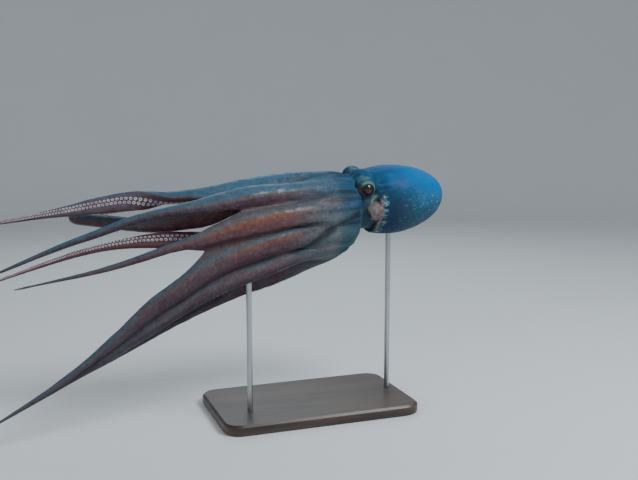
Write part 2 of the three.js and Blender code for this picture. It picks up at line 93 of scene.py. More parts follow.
# The arms in their order round the crown: name, place round it, width, taper, keel's end, twist (in degrees,
# and the shares of the length between which it turns), reach of the web towards the next arm, how rust-red
# the arm is, and the path from the root to the tip.
ARMS = [
    ("R1", -10, 36, 0.75, 0.74, (108, 0.46, 0.62), 215, 0.2,
     [(-64, 8, 44), (-130, 13, 38), (-194, 16, 27), (-276, 24, 20), (-341, 27, 13), (-395, 27, 5),
      (-447, 24, -2), (-510, 19, -10)]),
    ("L1", 34, 35, 0.85, 0.4, (-25, 0.1, 0.6), 185, 0.4,
     [(-72, -30, 31), (-142, -40, 28), (-210, -39, 15), (-276, -34, 4), (-308, -30, -4), (-351, -27, -19),
      (-399, -25, -35), (-500, -20, -75)]),
    ("L2", 78, 37, 1.1, 0.45, (0, 0, 1), 238, 1.0,
     [(-60, -48, 0), (-117, -55, -6), (-185, -58, -19), (-214, -57, -29), (-261, -54, -41), (-299, -50, -53),
      (-347, -46, -66), (-460, -38, -87)]),
    ("L3", 113, 39, 1, 0.6, (0, 0, 1), 480, 0.65,
     [(-70, -43, -36), (-129, -48, -48), (-197, -48, -72), (-239, -47, -97), (-282, -45, -124),
      (-325, -43, -158), (-406, -39, -217), (-520, -33, -283)]),
    ("L4", 146, 31, 0.95, 0.66, (0, 0, 1), 190, 0.35,
     [(-62, -29, -64), (-110, -32, -80), (-194, -33, -107), (-281, -30, -157), (-375, -28, -209),
      (-514, -24, -282)]),
    ("R4", 191, 32, 1, 0.6, (0, 0, 1), 180, 0.35,
     [(-52, 8, -86), (-100, 9, -104), (-145, 9, -117), (-231, 4, -149), (-321, -3, -193), (-459, -5, -258)]),
    ("R3", 247, 38, 1, 0.56, (22, 0.1, 0.45), 120, 1.0,
     [(-51, 46, -32), (-130, 50, -46), (-185, 46, -49), (-239, 42, -44), (-300, 37, -44), (-368, 30, -53),
      (-506, 24, -93)]),
    ("R2", 304, 34, 0.32, 0.46, (-140, 0.14, 0.46), 120, 0.85,
     [(-43, 38, 12), (-119, 47, 9), (-194, 52, -10), (-267, 54, -21), (-325, 54, -14), (-357, 56, -9),
      (-375, 63, -7), (-374, 76, -5), (-355, 86, -2), (-326, 90, 2), (-292, 87, 4), (-262, 81, 5)]),
]

# ---------------- small helpers


def lerp(a, b, share):
    return a + (b - a) * share


def smoothstep(value, low, high):
    share = min(1.0, max(0.0, (value - low) / (high - low)))
    return share * share * (3 - 2 * share)


def placed(point):
    """A point of the animal's own frame, in millimetres, in the part's frame in metres."""
    return (point + CROWN_MIDDLE) * MM


def rolled(x, y, z):
    """A point given with the back straight up, turned by the roll about the body's axis."""
    above = z - AXIS_HEIGHT
    return Vector((x, y * math.cos(ROLL) - above * math.sin(ROLL),
                   AXIS_HEIGHT + y * math.sin(ROLL) + above * math.cos(ROLL)))


def linear(red, green, blue):
    """A display colour, from 0 to 255 each, as the linear colour that a shader takes."""
    shares = (channel / 255 for channel in (red, green, blue))
    return [s / 12.92 if s <= 0.04045 else ((s + 0.055) / 1.055) ** 2.4 for s in shares]


def bell(away, width):
    """A bell curve: 1 in the middle, falling away over the width."""
    return math.exp(-(away / width) ** 2)


def turned_to_half(angle):
    """The same angle between minus half a turn and half a turn."""
    return (angle + math.pi) % (2 * math.pi) - math.pi


def as_mesh(name, bm):
    """The bmesh as a mesh. The bmesh itself is used up."""
    mesh = bpy.data.meshes.new(name)
    bm.to_mesh(mesh)
    bm.free()
    return mesh


def in_scene(name, data):
    """The data as a new object of the scene."""
    thing = bpy.data.objects.new(name, data)
    bpy.context.collection.objects.link(thing)
    return thing


def new_piece(name, bm):
    """The bmesh as a piece that moves with the model."""
    piece = in_scene(name, as_mesh(name, bm))
    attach(piece, "root")
    return piece


def dress(mesh, finish):
    """Gives the mesh smooth shading and its one finish."""
    mesh.shade_smooth()
    mesh.materials.clear()
    mesh.materials.append(finish)


def extruded(bm, edges):
    """Extrudes the edges and returns the new vertices."""
    made = bmesh.ops.extrude_edge_only(bm, edges=edges)["geom"]
    return [part for part in made if isinstance(part, bmesh.types.BMVert)]


def edge_to(a, b):
    """The edge from one vertex to another."""
    return next(edge for edge in a.link_edges if edge.other_vert(a) is b)


def edges_among(verts):
    """The edges that join two of the vertices."""
    touching = dict.fromkeys(edge for vert in verts for edge in vert.link_edges)
    return [edge for edge in touching if all(vert in verts for vert in edge.verts)]


def turned(bm, profile, sides, **caps):
    """A surface turned round the z axis from a profile of radii and heights. Returns its last ring."""
    radius, height = profile[0]
    ring = bmesh.ops.create_circle(bm, segments=sides, radius=radius,
                                   matrix=Matrix.Translation((0, 0, height)), **caps)["verts"]
    for wide, high in profile[1:]:
        ring = extruded(bm, edges_among(ring))
        bmesh.ops.scale(bm, vec=(wide / radius, wide / radius, 1), verts=ring)
        bmesh.ops.translate(bm, vec=(0, 0, high - height), verts=ring)
        radius, height = wide, high
    return ring


# ---------------- the arms' lines


class Line:
    """A smooth line through points, with its places given as shares of its length."""

    SAMPLES = 40  # between one point and the next
    ASIDE = 1.5  # millimetres to each side of a place, to tell the direction there

    def __init__(self, points):
        self.stops = [points[0] * 2 - points[1], *points, points[-1] * 2 - points[-2]]
        self.samples = [self.between(number, step / self.SAMPLES)
                        for number in range(1, len(points))
                        for step in range(self.SAMPLES)] + [points[-1]]
        self.reached = [0.0]
        for a, b in zip(self.samples, self.samples[1:]):
            self.reached.append(self.reached[-1] + (b - a).length)
        self.length = self.reached[-1]

    def between(self, number, share):
        """A centripetal Catmull-Rom curve from one stop to the next."""
        p0, p1, p2, p3 = self.stops[number - 1:number + 3]
        d0, d1, d2 = (math.sqrt((b - a).length) for a, b in ((p0, p1), (p1, p2), (p2, p3)))
        t1 = ((p1 - p0) / d0 - (p2 - p0) / (d0 + d1) + (p2 - p1) / d1) * d1
        t2 = ((p2 - p1) / d1 - (p3 - p1) / (d1 + d2) + (p3 - p2) / d2) * d1
        return (p1 + t1 * share + (p2 * 3 - p1 * 3 - t1 * 2 - t2) * share ** 2
                + (p1 * 2 - p2 * 2 + t1 + t2) * share ** 3)

    def point(self, share):
        want = min(max(share, 0.0), 1.0) * self.length
        number = min(max(bisect.bisect_right(self.reached, want), 1), len(self.samples) - 1)
        low, high = self.reached[number - 1], self.reached[number]
        return self.samples[number - 1].lerp(self.samples[number], (want - low) / (high - low))

    def along(self, share):
        step = self.ASIDE / self.length
        return (self.point(share + step) - self.point(share - step)).normalized()


class Arm:
    """An arm's centre line and its section at each share of its length."""

    FRAMES = 500

    def __init__(self, name, around, width, taper, keel_end, twist, web, rust, path):
        self.name, self.width, self.taper, self.keel_end = name, width, taper, keel_end
        self.angle, self.twist, self.web, self.rust = math.radians(around), twist, web, rust
        outwards = Vector((0, -math.sin(self.angle), math.cos(self.angle)))
        root = Vector((0, RING_HALF_WIDTH * outwards.y, RING_HEIGHT + RING_HALF_HEIGHT * outwards.z))
        self.line = Line([root, *map(Vector, path)])
        self.length = self.line.length
        self.frames = []
        out = outwards
        for number in range(self.FRAMES + 1):
            along = self.line.along(number / self.FRAMES)
            out = (out - along * out.dot(along)).normalized()
            self.frames.append((along, out))

    def axes(self, share):
        """The directions outwards and to the side at a share of the length, turned by the twist."""
        along, out = self.frames[round(min(share, 1.0) * self.FRAMES)]
        degrees, start, end = self.twist
        turned = Matrix.Rotation(math.radians(degrees) * smoothstep(share, start, end), 3, along) @ out
        return turned, along.cross(turned)

    def muscle(self, share):
        return FLESH * max(0.0, 1 - share) ** self.taper + TIP

    def half_width(self, share):
        keel = KEEL * (1 - smoothstep(share, self.keel_end - KEEL_FADE, self.keel_end + KEEL_FADE))
        crowding = lerp(ROOT_SHARE, 1, smoothstep(share * self.length, 0, ROOT_OVER))
        return self.width / 2 * (self.muscle(share) + keel) * crowding

    def half_thickness(self, share):
        return self.width / 2 * self.muscle(share) * DEPTH

    def point(self, share, across, up, full=1.0):
        out, side = self.axes(share)
        return (self.line.point(share) + side * (across * self.half_width(share) * full)
                + out * (up * self.half_thickness(share) * full))


arms = [Arm(*settings) for settings in ARMS]

# ---------------- the skin's columns and rows

WEB_COLUMNS = 2  # between one arm's columns and the next arm's
MIDDLE = len(OUTER) // 2  # the number of an arm's middle column
PER_ARM = len(OUTER) + WEB_COLUMNS
COLUMNS = PER_ARM * len(arms)
ROW = 12.1  # along the arms, as far as the webs reach
WEB_ROWS = 20
FREE_ROWS = 21  # from there to the arms' tips
FIRST_INNER = 2  # the row in which the inner face starts, round the mouth
MANTLE_ROWS = 13
WEB_BOW = 0.14  # how far a web's margin is drawn in between its arms
BOW_FROM = 0.35  # the share of a web's reach where that starts
WEB_THICK = 2.6
INNER_THINS = 0.4 * CROWN_REACH, 1.2 * CROWN_REACH  # from a bulge by the mouth to a web's thickness
WEB_SKIN = 0.3 * CROWN_REACH, CROWN_REACH  # where the crown's skin turns into the webs'
FREE_FULLNESS = 1.05  # past the crown the arms' corners lie further out, as smoothing draws the skin in
LIP_CROWDING, HEAD_CROWDING = 0.35, 0.5  # how far the columns crowd towards the arms at the lip and the head


def owner(column):
    """The arm that a column runs along, the next arm, and the column's number within the arm's share."""
    number = column // PER_ARM % len(arms)
    return arms[number], arms[(number + 1) % len(arms)], column % PER_ARM


def web_share(within):
    """How far one of the web's columns lies on the way to the next arm."""
    return (within - len(OUTER) + 1) / (WEB_COLUMNS + 1)


def column_angle(column):
    """A column's place round the crown's ring: an arm's own columns lie close round it."""
    arm, following, within = owner(column)
    if within < len(OUTER):
        return arm.angle + COLUMN_SPACING * (within - MIDDLE)
    start = arm.angle + COLUMN_SPACING * MIDDLE
    end = following.angle - COLUMN_SPACING * MIDDLE + (2 * math.pi if following.angle < arm.angle else 0)
    return lerp(start, end, web_share(within))


EVEN = 2 * math.pi / COLUMNS
EVEN_START = sum(column_angle(column) - EVEN * column for column in range(COLUMNS)) / COLUMNS


def body_angle(column, crowded):
    """A column's angle from the back, from evenly spaced on the mantle to as the arms stand at the crown."""
    return lerp(EVEN_START + EVEN * column, column_angle(column), crowded) - ROLL


def inwards(a, b):
    """The direction from half way between two points to the crown's middle line, square to their own line."""
    across = (b - a).normalized()
    middle = (a + b) / 2
    towards = Vector((0, -middle.y, RING_HEIGHT - middle.z))
    return (towards - across * towards.dot(across)).normalized()


def arm_corner(arm, number, distance, inner):
    """A corner of an arm's section, on its outer or its inner face, at a distance along the arm."""
    across, up = (INNER if inner else OUTER)[number]
    if not inner and number in (0, len(OUTER) - 1):
        # Where the crown closes over the arms' roots, their side corners lie further out.
        up = lerp(CROWN_FULLNESS, up, smoothstep(distance, CROWN_OPENS, CROWN_REACH))
    full = lerp(1.0, FREE_FULLNESS, smoothstep(distance, CROWN_REACH, 2 * CROWN_REACH))
    return arm.point(distance / arm.length, across, up, full)


def web_point(column, distance, inner):
    """A point of a web's outer or inner face, and the direction in which the web hangs in there."""
    arm, following, within = owner(column)
    share = web_share(within)
    arch = 4 * share * (1 - share)
    reached = distance * (1 - WEB_BOW * arch * smoothstep(distance / arm.web, BOW_FROM, 1))
    here = arm_corner(arm, len(OUTER) - 1, reached, inner)
    there = arm_corner(following, 0, reached, inner)
    opened = 1 if inner else smoothstep(reached, CROWN_OPENS, CROWN_REACH)
    towards = inwards(here, there)
    return here.lerp(there, share) + towards * (WEB_SAG * (here - there).length * arch * opened), towards


def sheet_point(column, distance, inner):
    """A point of the outer or the inner face of the crown, arms and webs, at a distance along the arms."""
    arm, _, within = owner(column)
    if within < len(OUTER):
        return arm_corner(arm, within, distance, inner)
    point, towards = web_point(column, distance, False)
    if inner:
        # Close to the mouth the inner face bulges in. Further out it lies a web's thickness under the outer.
        bulging, _ = web_point(column, distance, True)
        thin = point + towards * WEB_THICK
        return bulging.lerp(thin, smoothstep(distance, *INNER_THINS))
    return point


def mantle_section(x):
    if x > MANTLE_WIDEST:
        share = (x - MANTLE_WIDEST) / (MANTLE_APEX - MANTLE_WIDEST)
        size = max(0.0, 1 - share * share) ** BLUNTNESS
    else:
        share = (MANTLE_WIDEST - x) / (MANTLE_WIDEST - MANTLE_LIP)
        size = 1 - (1 - LIP_SHARE) * share * share
    rise = MANTLE_RISE * ((x - MANTLE_LIP) / (MANTLE_APEX - MANTLE_LIP)) ** 2
    return MANTLE_HALF[0] * size, MANTLE_HALF[1] * size, AXIS_HEIGHT + rise


def head_section(x):
    for (x0, *low), (x1, *high) in zip(HEAD, HEAD[1:]):
        if x <= x1 or x1 == HEAD[-1][0]:
            return tuple(lerp(a, b, (x - x0) / (x1 - x0)) for a, b in zip(low, high))


def body_point(x, angle, section):
    half_width, half_height, height = section
    return rolled(x, -half_width * math.sin(angle), height + half_height * math.cos(angle))


# From the mantle's lip into the slit round the neck and out again on to the head: the place along the body,
# and the share of the way from the mantle's size to the head's. On the back the two are one flesh.
SLIT = [(54.6, 0.06), (55.4, 0.3), (57.5, 0.5), (60, 0.62), (61, 0.85), (58.5, 1), (54, 1)]
NAPE = [(54.6, 0.02), (53.4, 0.12), (52, 0.3), (50.8, 0.5), (49.6, 0.7), (48.4, 0.86), (47, 0.96)]
SLIT_FROM, SLIT_TO = math.radians(60), math.radians(82)
SLIT_CLOSES = math.radians(125), math.radians(150)
SLIT_CLOSED = 0.55  # how far the slit closes below, round the funnel
HEAD_ROWS = [46, 41.5, 37.5, 33.5, 29.5, 25.5]
MOUND_SKIRT = 0.92, 1.25  # between these shares of its radius, an eye's mound runs out into the head
NECK_TO_SHOULDER = 0.55  # where the row between the neck and the shoulders lies


def slit_open(angle):
    from_back = abs(turned_to_half(angle))
    return smoothstep(from_back, SLIT_FROM, SLIT_TO) * (1 - SLIT_CLOSED * smoothstep(from_back, *SLIT_CLOSES))


def slit_point(number, angle):
    """A point of the slit's walls: between a deep slit at the sides and below, and none on the back."""
    opened = slit_open(angle)

    def on(path):
        x, share = path[number]
        sizes = zip(mantle_section(MANTLE_LIP), head_section(x))
        return body_point(x, angle, tuple(lerp(a, b, share) for a, b in sizes))

    return on(NAPE).lerp(on(SLIT), opened)


def eye_frame(side):
    """The middle of an eye's mound, and the direction in which the eye looks."""
    middle = rolled(EYE_AHEAD, side * EYE_OUT, AXIS_HEIGHT + EYE_UP)
    return middle, Vector((0, side * math.cos(ROLL), side * math.sin(ROLL)))


def over_mounds(point):
    """The point, lifted out over the mounds that the eyes sit in."""
    for side in (-1, 1):
        middle, _ = eye_frame(side)
        away = point - middle
        lift = 1 - smoothstep(away.length / EYE_MOUND, *MOUND_SKIRT)
        if lift:
            point = point.lerp(middle + away.normalized() * EYE_MOUND, lift)
    return point


def neck_ring(column):
    return body_point(NECK_X, column_angle(column) - ROLL, HEAD[0][1:])


def shoulder(column):
    root = sheet_point(column, 0, False)
    angle = column_angle(column)
    ahead = SHOULDER_X + SHOULDER_LEAN * math.cos(angle) + SHOULDER_BULGE * math.sin(angle) ** 2
    return Vector((ahead, root.y * SHOULDER_SHARE, lerp(RING_HEIGHT, root.z, SHOULDER_SHARE)))


def body_rows():
    """The rows from the mantle's apex to the shoulders of the crown, each a function of the column."""
    rows = []
    for number in range(1, MANTLE_ROWS + 1):
        x = lerp(MANTLE_LIP, MANTLE_APEX, math.sin(LAST_TURN * (1 - number / MANTLE_ROWS)))
        crowded = LIP_CROWDING * smoothstep(x, MANTLE_WIDEST, MANTLE_LIP)
        rows.append(lambda c, x=x, k=crowded: body_point(x, body_angle(c, k), mantle_section(x)))
    for number in range(len(SLIT)):
        crowded = lerp(LIP_CROWDING, HEAD_CROWDING, number / len(SLIT))
        rows.append(lambda c, n=number, k=crowded: slit_point(n, body_angle(c, k)))
    for x in HEAD_ROWS:
        crowded = lerp(1, HEAD_CROWDING, (x - NECK_X) / (HEAD_ROWS[0] - NECK_X))
        rows.append(lambda c, x=x, k=crowded: body_point(x, body_angle(c, k), head_section(x)))
    return [*rows, neck_ring, lambda c: neck_ring(c).lerp(shoulder(c), NECK_TO_SHOULDER), shoulder]


# ---------------- building the skin


def grow(bm, row, edges, place):
    """Extrudes a row's open edges and puts each new corner where "place" says. Returns the next row."""
    fresh = set(extruded(bm, edges))
    following = {column: edge.other_vert(vert) for column, vert in row.items() for edge in vert.link_edges
                 if edge.other_vert(vert) in fresh}
    for column, vert in following.items():
        place(column, vert)
    return following


def capped_ring(bm, count):
    """A ring with a fan of faces round its middle: the middle's vertex, and the ring's by column."""
    ring = bmesh.ops.create_circle(bm, cap_ends=True, cap_tris=True, segments=count, radius=MM)["verts"]
    middle = next(vert for vert in ring if len(vert.link_edges) == count)
    return middle, dict(enumerate(vert for vert in ring if vert is not middle))


def edges_between(row, columns, count=COLUMNS):
    """The edges from each of these columns to the next one round the row."""
    return [edge_to(row[column], row[(column + 1) % count]) for column in columns]


def edges_down(rows, column, first, last):
    """The edges along a column, from the first row to the last."""
    return [edge_to(rows[number][column], rows[number + 1][column]) for number in range(first, last)]


def web_end(arm):
    """The number of the row where the web beside an arm ends."""
    free = arm.web / ROW - WEB_ROWS
    return round(WEB_ROWS + max(0.0, free) * ROW / (arm.length - WEB_ROWS * ROW) * FREE_ROWS + min(0.0, free))


def live_columns(number):
    """The columns whose edge to the next one goes on past a row of the arms."""
    shares = ((column, *owner(column)) for column in range(COLUMNS))
    return [column for column, arm, _, within in shares if within < len(OUTER) - 1 or number < web_end(arm)]


THICK_ARM = 18  # the half width of an arm, in millimetres, where its wrinkles are at their full depth
RIDGES = 0.0, 0.6, 1.0, 0.6, 0.0  # how much each of an arm's columns lies on its outer ridge
ARM_SKIN, ARM_SKIN_ON_HEAD = (-10, 60), (-30, 60)  # where along the arms the body's skin turns into theirs
LIP_PALENESS, LIP_RISES, LIP_FALLS = 0.85, (52, 54.5), (56, 68)  # the mantle's pale lip along the body


class Traits:
    """What the skin's finish reads at each corner, kept as three vectors."""

    def __init__(self, bm):
        layers = bm.verts.layers.float_vector
        self.lie, self.flesh, self.tone = (layers.new(name) for name in ("lie", "flesh", "tone"))

    def write(self, vert, angle, along, arm=0.0, oral=0.0, web=0.0, rust=0.0, ridge=0.0, girth=1.0):
        vert[self.lie] = Vector((math.sin(angle), math.cos(angle), along * MM))
        vert[self.flesh] = Vector((arm, oral, web))
        vert[self.tone] = Vector((rust, ridge, girth))


def arm_traits(traits, vert, column, distance, oral):
    arm, following, within = owner(column)
    girth = arm.half_width(min(1.0, distance / arm.length)) / THICK_ARM
    on_arm = smoothstep(distance, *ARM_SKIN)
    if within < len(OUTER):
        rust, ridge = arm.rust, RIDGES[within] * (1 - oral)
        # A pale strip under the suckers runs between red flanks. The redder the arm, the narrower the strip.
        beside, pale = 0.2 + 0.4 * rust, 0.85 - 0.35 * rust
        web = (1.0, beside, 0.0, beside, 1.0)[within] * lerp(0.4, 1, rust) * oral * on_arm
        oral *= (0.2, pale, 1.0, pale, 0.2)[within]
    else:
        web = smoothstep(distance, *WEB_SKIN)
        rust, ridge = (arm.rust + following.rust) / 2 * (1 - 0.6 * web), 0.0
    traits.write(vert, column_angle(column), distance, on_arm, oral, web, rust, ridge, girth)


def grow_arms(bm, traits, row, inner):
    """Grows the crown, the webs and the arms from a row, and returns all of their rows by number."""
    oral, first = (1.0, FIRST_INNER) if inner else (0.0, 0)
    rows = {}

    def place_at(distance_of):
        def place(column, vert):
            distance = distance_of(owner(column)[0])
            vert.co = placed(over_mounds(sheet_point(column, distance, inner)))
            arm_traits(traits, vert, column, distance, oral)
        return place

    for number in range(first, WEB_ROWS + FREE_ROWS + 1):
        live = range(COLUMNS) if number == first else live_columns(number - 1)
        free = max(0, number - WEB_ROWS) / FREE_ROWS
        webbed = min(number, WEB_ROWS) * ROW
        row = grow(bm, row, edges_between(row, live), place_at(lambda arm: lerp(webbed, arm.length, free)))
        rows[number] = row
    return rows


# The mouth's rows, from its deep end: place along the body, radius, and how far the row lies on its way from
# the mouth to the arms' inner faces.
MOUTH_ROWS = [(-15, 3, 0), (-19, 5, 0), (-25, 6, 0), (-28.5, 8.5, 0), (-28, 12, 0),
              (MOUTH_X, MOUTH_RADIUS, 0), (MOUTH_X, MOUTH_RADIUS, 0.5)]


def build_cage():
    """The animal's whole surface as one closed cage of quads, from the mantle's apex to the arms' tips."""
    bm = bmesh.new()
    traits = Traits(bm)

    # The outside: the mantle, the slit and the head, row by row from the apex.
    apex, row = capped_ring(bm, COLUMNS)
    apex.co = placed(rolled(MANTLE_APEX, 0, AXIS_HEIGHT + MANTLE_RISE))
    traits.write(apex, 0, -MANTLE_APEX)
    tip = lerp(MANTLE_LIP, MANTLE_APEX, math.sin(LAST_TURN))
    for column, vert in row.items():
        vert.co = placed(body_point(tip, body_angle(column, 0), mantle_section(tip)))
        traits.write(vert, column_angle(column), -tip)
    for at in body_rows():
        def place(column, vert):
            point = over_mounds(at(column))
            vert.co = placed(point)
            angle = column_angle(column)
            lip = smoothstep(point.x, *LIP_RISES) * (1 - smoothstep(point.x, *LIP_FALLS))
            traits.write(vert, angle, -point.x, arm=smoothstep(-point.x, *ARM_SKIN_ON_HEAD),
                         oral=LIP_PALENESS * lip * slit_open(angle - ROLL))
        row = grow(bm, row, edges_between(row, range(COLUMNS)), place)
    outer = grow_arms(bm, traits, row, False)

    # The inside: the mouth, and the faces that carry the suckers.
    deep, row = capped_ring(bm, COLUMNS)
    deep.co = placed(Vector((MOUTH_ROWS[0][0], 0, RING_HEIGHT)))
    traits.write(deep, 0, 0, arm=1.0, oral=1.0)

    def on_mouth(x, radius, towards):
        def place(column, vert):
            angle = column_angle(column)
            point = Vector((x, -radius * math.sin(angle), RING_HEIGHT + radius * math.cos(angle)))
            vert.co = placed(point.lerp(sheet_point(column, FIRST_INNER * ROW, True), towards))
            traits.write(vert, angle, radius - MOUTH_RADIUS, arm=1.0, oral=1.0)
        return place

    for column, vert in row.items():
        on_mouth(*MOUTH_ROWS[0])(column, vert)
    for settings in MOUTH_ROWS[1:]:
        row = grow(bm, row, edges_between(row, range(COLUMNS)), on_mouth(*settings))
    inner = grow_arms(bm, traits, row, True)

    # The two faces are joined along the webs' margins, down the arms' sides and round their tips.
    last = WEB_ROWS + FREE_ROWS
    for number, arm in enumerate(arms):
        start, end = number * PER_ARM, web_end(arm)
        right, left = start + len(OUTER) - 1, (start + PER_ARM) % COLUMNS
        for seam in (
            lambda rows: edges_between(rows[end], range(right, right + WEB_COLUMNS + 1)),
            lambda rows: edges_down(rows, right, end, last),
            lambda rows: edges_down(rows, left, end, last),
            lambda rows: edges_between(rows[last], range(start, right)),
        ):
            bmesh.ops.bridge_loops(bm, edges=seam(outer) + seam(inner))
    add_funnel(bm, traits)
    bmesh.ops.recalc_face_normals(bm, faces=bm.faces)
    if any(len(edge.link_faces) != 2 for edge in bm.edges):
        raise RuntimeError("the skin's cage isn't closed")
    return bm


FUNNEL_SIDES = 16
FUNNEL_START = 0.6  # the radius of its hidden inner end, over the root's
FUNNEL_ROWS = (0, 0.15, 0.3, 0.45, 0.6, 0.72, 0.82, 0.9, 0.96, 1)
# The rolled rim and the bore: share of the length, and radius.
FUNNEL_INSIDE = [(1, FUNNEL_BORE + 1.2), (0.96, FUNNEL_BORE), (0.85, FUNNEL_BORE * 0.9),
                 (0.74, FUNNEL_BORE * 0.8), (0.72, FUNNEL_BORE * 0.3)]


def add_funnel(bm, traits):
    """The funnel: a tapered tube from inside the mantle's slit, with a rolled rim and an open bore."""
    line = Line([Vector(point) for point in FUNNEL_PATH])
    up = Vector((0, 0, 1))

    def place_at(share, radius):
        along = line.along(min(share, 0.999))
        side = along.cross(up).normalized()
        top = side.cross(along)
        middle = line.point(share)

        def place(column, vert):
            angle = 2 * math.pi * column / FUNNEL_SIDES
            point = middle + side * (radius * math.sin(angle)) + top * (radius * math.cos(angle))
            vert.co = placed(point)
            traits.write(vert, angle, -point.x, oral=1.0)
        return place

    middle, row = capped_ring(bm, FUNNEL_SIDES)
    middle.co = placed(line.point(0))
    traits.write(middle, 0, 0)
    for column, vert in row.items():
        place_at(0, FUNNEL_ROOT * FUNNEL_START)(column, vert)
    outside = [(share, lerp(FUNNEL_ROOT, FUNNEL_TIP, share ** FUNNEL_BLUNTNESS)) for share in FUNNEL_ROWS]
    for share, radius in outside + FUNNEL_INSIDE:
        round_it = edges_between(row, range(FUNNEL_SIDES), FUNNEL_SIDES)
        row = grow(bm, row, round_it, place_at(share, radius))
    bmesh.ops.contextual_create(bm, geom=list(row.values()))


def read_trait(mesh, name):
    values = [0.0] * (3 * len(mesh.vertices))
    mesh.attributes[name].data.foreach_get("vector", values)
    return [Vector(values[start:start + 3]) for start in range(0, len(values), 3)]


# The folds between the arms' roots that run on over the crown: their depth in millimetres, and how far
# towards the back each one leans on its way to the collar.
CREASES = {"L2": (1.6, 0), "L3": (3.6, math.radians(46))}
OTHER_CREASE = (1.4, 0)
# Painted shade: the finish darkens each fold more the deeper it is, fully from the depth given here.
CREASE_WIDTH, DARKEST_CREASE = 0.085, 2.5  # an angle, and the depth at which a fold is at its darkest
# In metres along the arms: where the folds begin, end and lean, and the same for the pleats behind the lip.
CREASES_START, CREASES_END, CREASES_LEAN = (-0.03, -0.02), (0.05, 0.095), (-0.03, 0.09)
PLEATS_START, PLEATS_END = (0.052, 0.056), (0.06, 0.076)
FACES_UP = -0.35, 0.75  # the rise of the skin's direction, from a side that faces down to one that faces up

# The pale fold of skin on the head that hoods the funnel, below the left eye: its crest, half width, height,
# and how far from its middle it reaches.
HOOD_CREST = [(43, -40, 10), (45, -41, 16), (49.5, -41.5, 19.5), (55, -42.5, 19.5)]
HOOD_WIDTH, HOOD_HEIGHT, HOOD_REACH = 2.1, 1.7, 16

# The folds round an eye, by the distance from the line of its gaze, in millimetres: the raised rim of the lid
# and the crease round it (place, width, height), and the well that the eyeball sits in (from, to, depth).
LID_RIM, LID_CREASE, EYE_WELL = (9.8, 1.7, 1.7), (13.6, 1.2, 0.6), (6.6, 8.3, 3.5)
LID_STRETCH = 1.06  # lengthwise over upwards
LIDS_REACH = 0.03  # metres from the mound's middle
WRINKLES_START = 9, 16  # the lids themselves have no wrinkles
MOUND_TINT = 0.5, 5  # how far past the mound's radius its tint begins to fade, and ends
AHEAD_AND_UP = Vector((0.6, 0, 0.8))  # the side of an eye on which its lids are grey-green


def crease_depth(lie):
    """How deep a fold of the crown is at a place on the skin, in millimetres."""
    window = smoothstep(lie.z, *CREASES_START) * (1 - smoothstep(lie.z, *CREASES_END))
    if not window:
        return 0.0
    deepest = 0.0
    for arm, following in zip(arms, arms[1:] + arms[:1]):
        depth, lean = CREASES.get(arm.name, OTHER_CREASE)
        leaning = lean * (1 - smoothstep(lie.z, *CREASES_LEAN))
        middle = arm.angle + (following.angle - arm.angle) % (2 * math.pi) / 2 - leaning
        away = turned_to_half(math.atan2(lie.x, lie.y) - middle)
        deepest = max(deepest, depth * bell(away, CREASE_WIDTH))
    return window * deepest


def hood_height(point, crest):
    """How much a place on the skin belongs to the fold over the funnel, from 0 to 1."""
    if (point - crest.samples[len(crest.samples) // 2]).length > HOOD_REACH:
        return 0.0
    return bell(min((point - sample).length for sample in crest.samples), HOOD_WIDTH)


def folds_round(lie, around, along):
    """Folds that run along the arms, by how fast they vary round and along them."""
    return noise.noise(Vector((lie.x * around, lie.y * around, lie.z * along)))


def fold_height(point, lie, flesh, tone, settings):
    """How far the skin stands out at a point, in metres, in its wrinkles, pleats and ripples."""
    pleats = 0.9 * noise.noise(Vector((lie.x * 11, lie.y * 11, 2))) * (
        smoothstep(-lie.z, *PLEATS_START) * (1 - smoothstep(-lie.z, *PLEATS_END)))
    body = 0.6 * noise.noise(point * 34) + 0.3 * noise.noise(point * 95) + pleats
    lengthwise = 0.9 * folds_round(lie, 5.5, 9) + 0.45 * folds_round(lie, 15, 16)
    ripple = noise.noise(point * 42) * (1 - 2 * flesh.y)
    on_arm = lengthwise * (1 - 0.5 * flesh.y) + 0.45 * noise.noise(point * 150)
    height = lerp(body, on_arm, flesh.x)
    height = lerp(height * min(1.0, tone.z), ripple, flesh.z)
    return height * lerp(settings.wrinkle_depth, settings.web_ripple, flesh.z)


def lid_fold(point, middle, gaze):
    """The lids at a point near an eye: the point on the eye's mound, how far the skin moves from there, the
    share of the wrinkles that is left, and what the finish reads."""
    mound = 1 - smoothstep((point - middle).length / MM, *(EYE_MOUND + past for past in MOUND_TINT))
    if (point - middle).dot(gaze) < 0:
        return point, Vector(), 1.0, (0.0, mound, 0.0)
    point = placed(over_mounds(point / MM - CROWN_MIDDLE))
    away = point - middle
    across = away - gaze * away.dot(gaze)
    upwards = (across - FORWARD * across.x).length
    ring = math.hypot(across.x, upwards * LID_STRETCH) / MM
    rim, crease = (height * bell(ring - place, width) for place, width, height in (LID_RIM, LID_CREASE))
    start, end, depth = EYE_WELL
    well = depth * (1 - smoothstep(ring, start, end))
    return (point, gaze * (rim - crease - well) * MM, smoothstep(ring, *WRINKLES_START),
            (across.dot(AHEAD_AND_UP) / MM / EYE_MOUND, mound, max(0.0, 1 - ring / EYE_MOUND)))


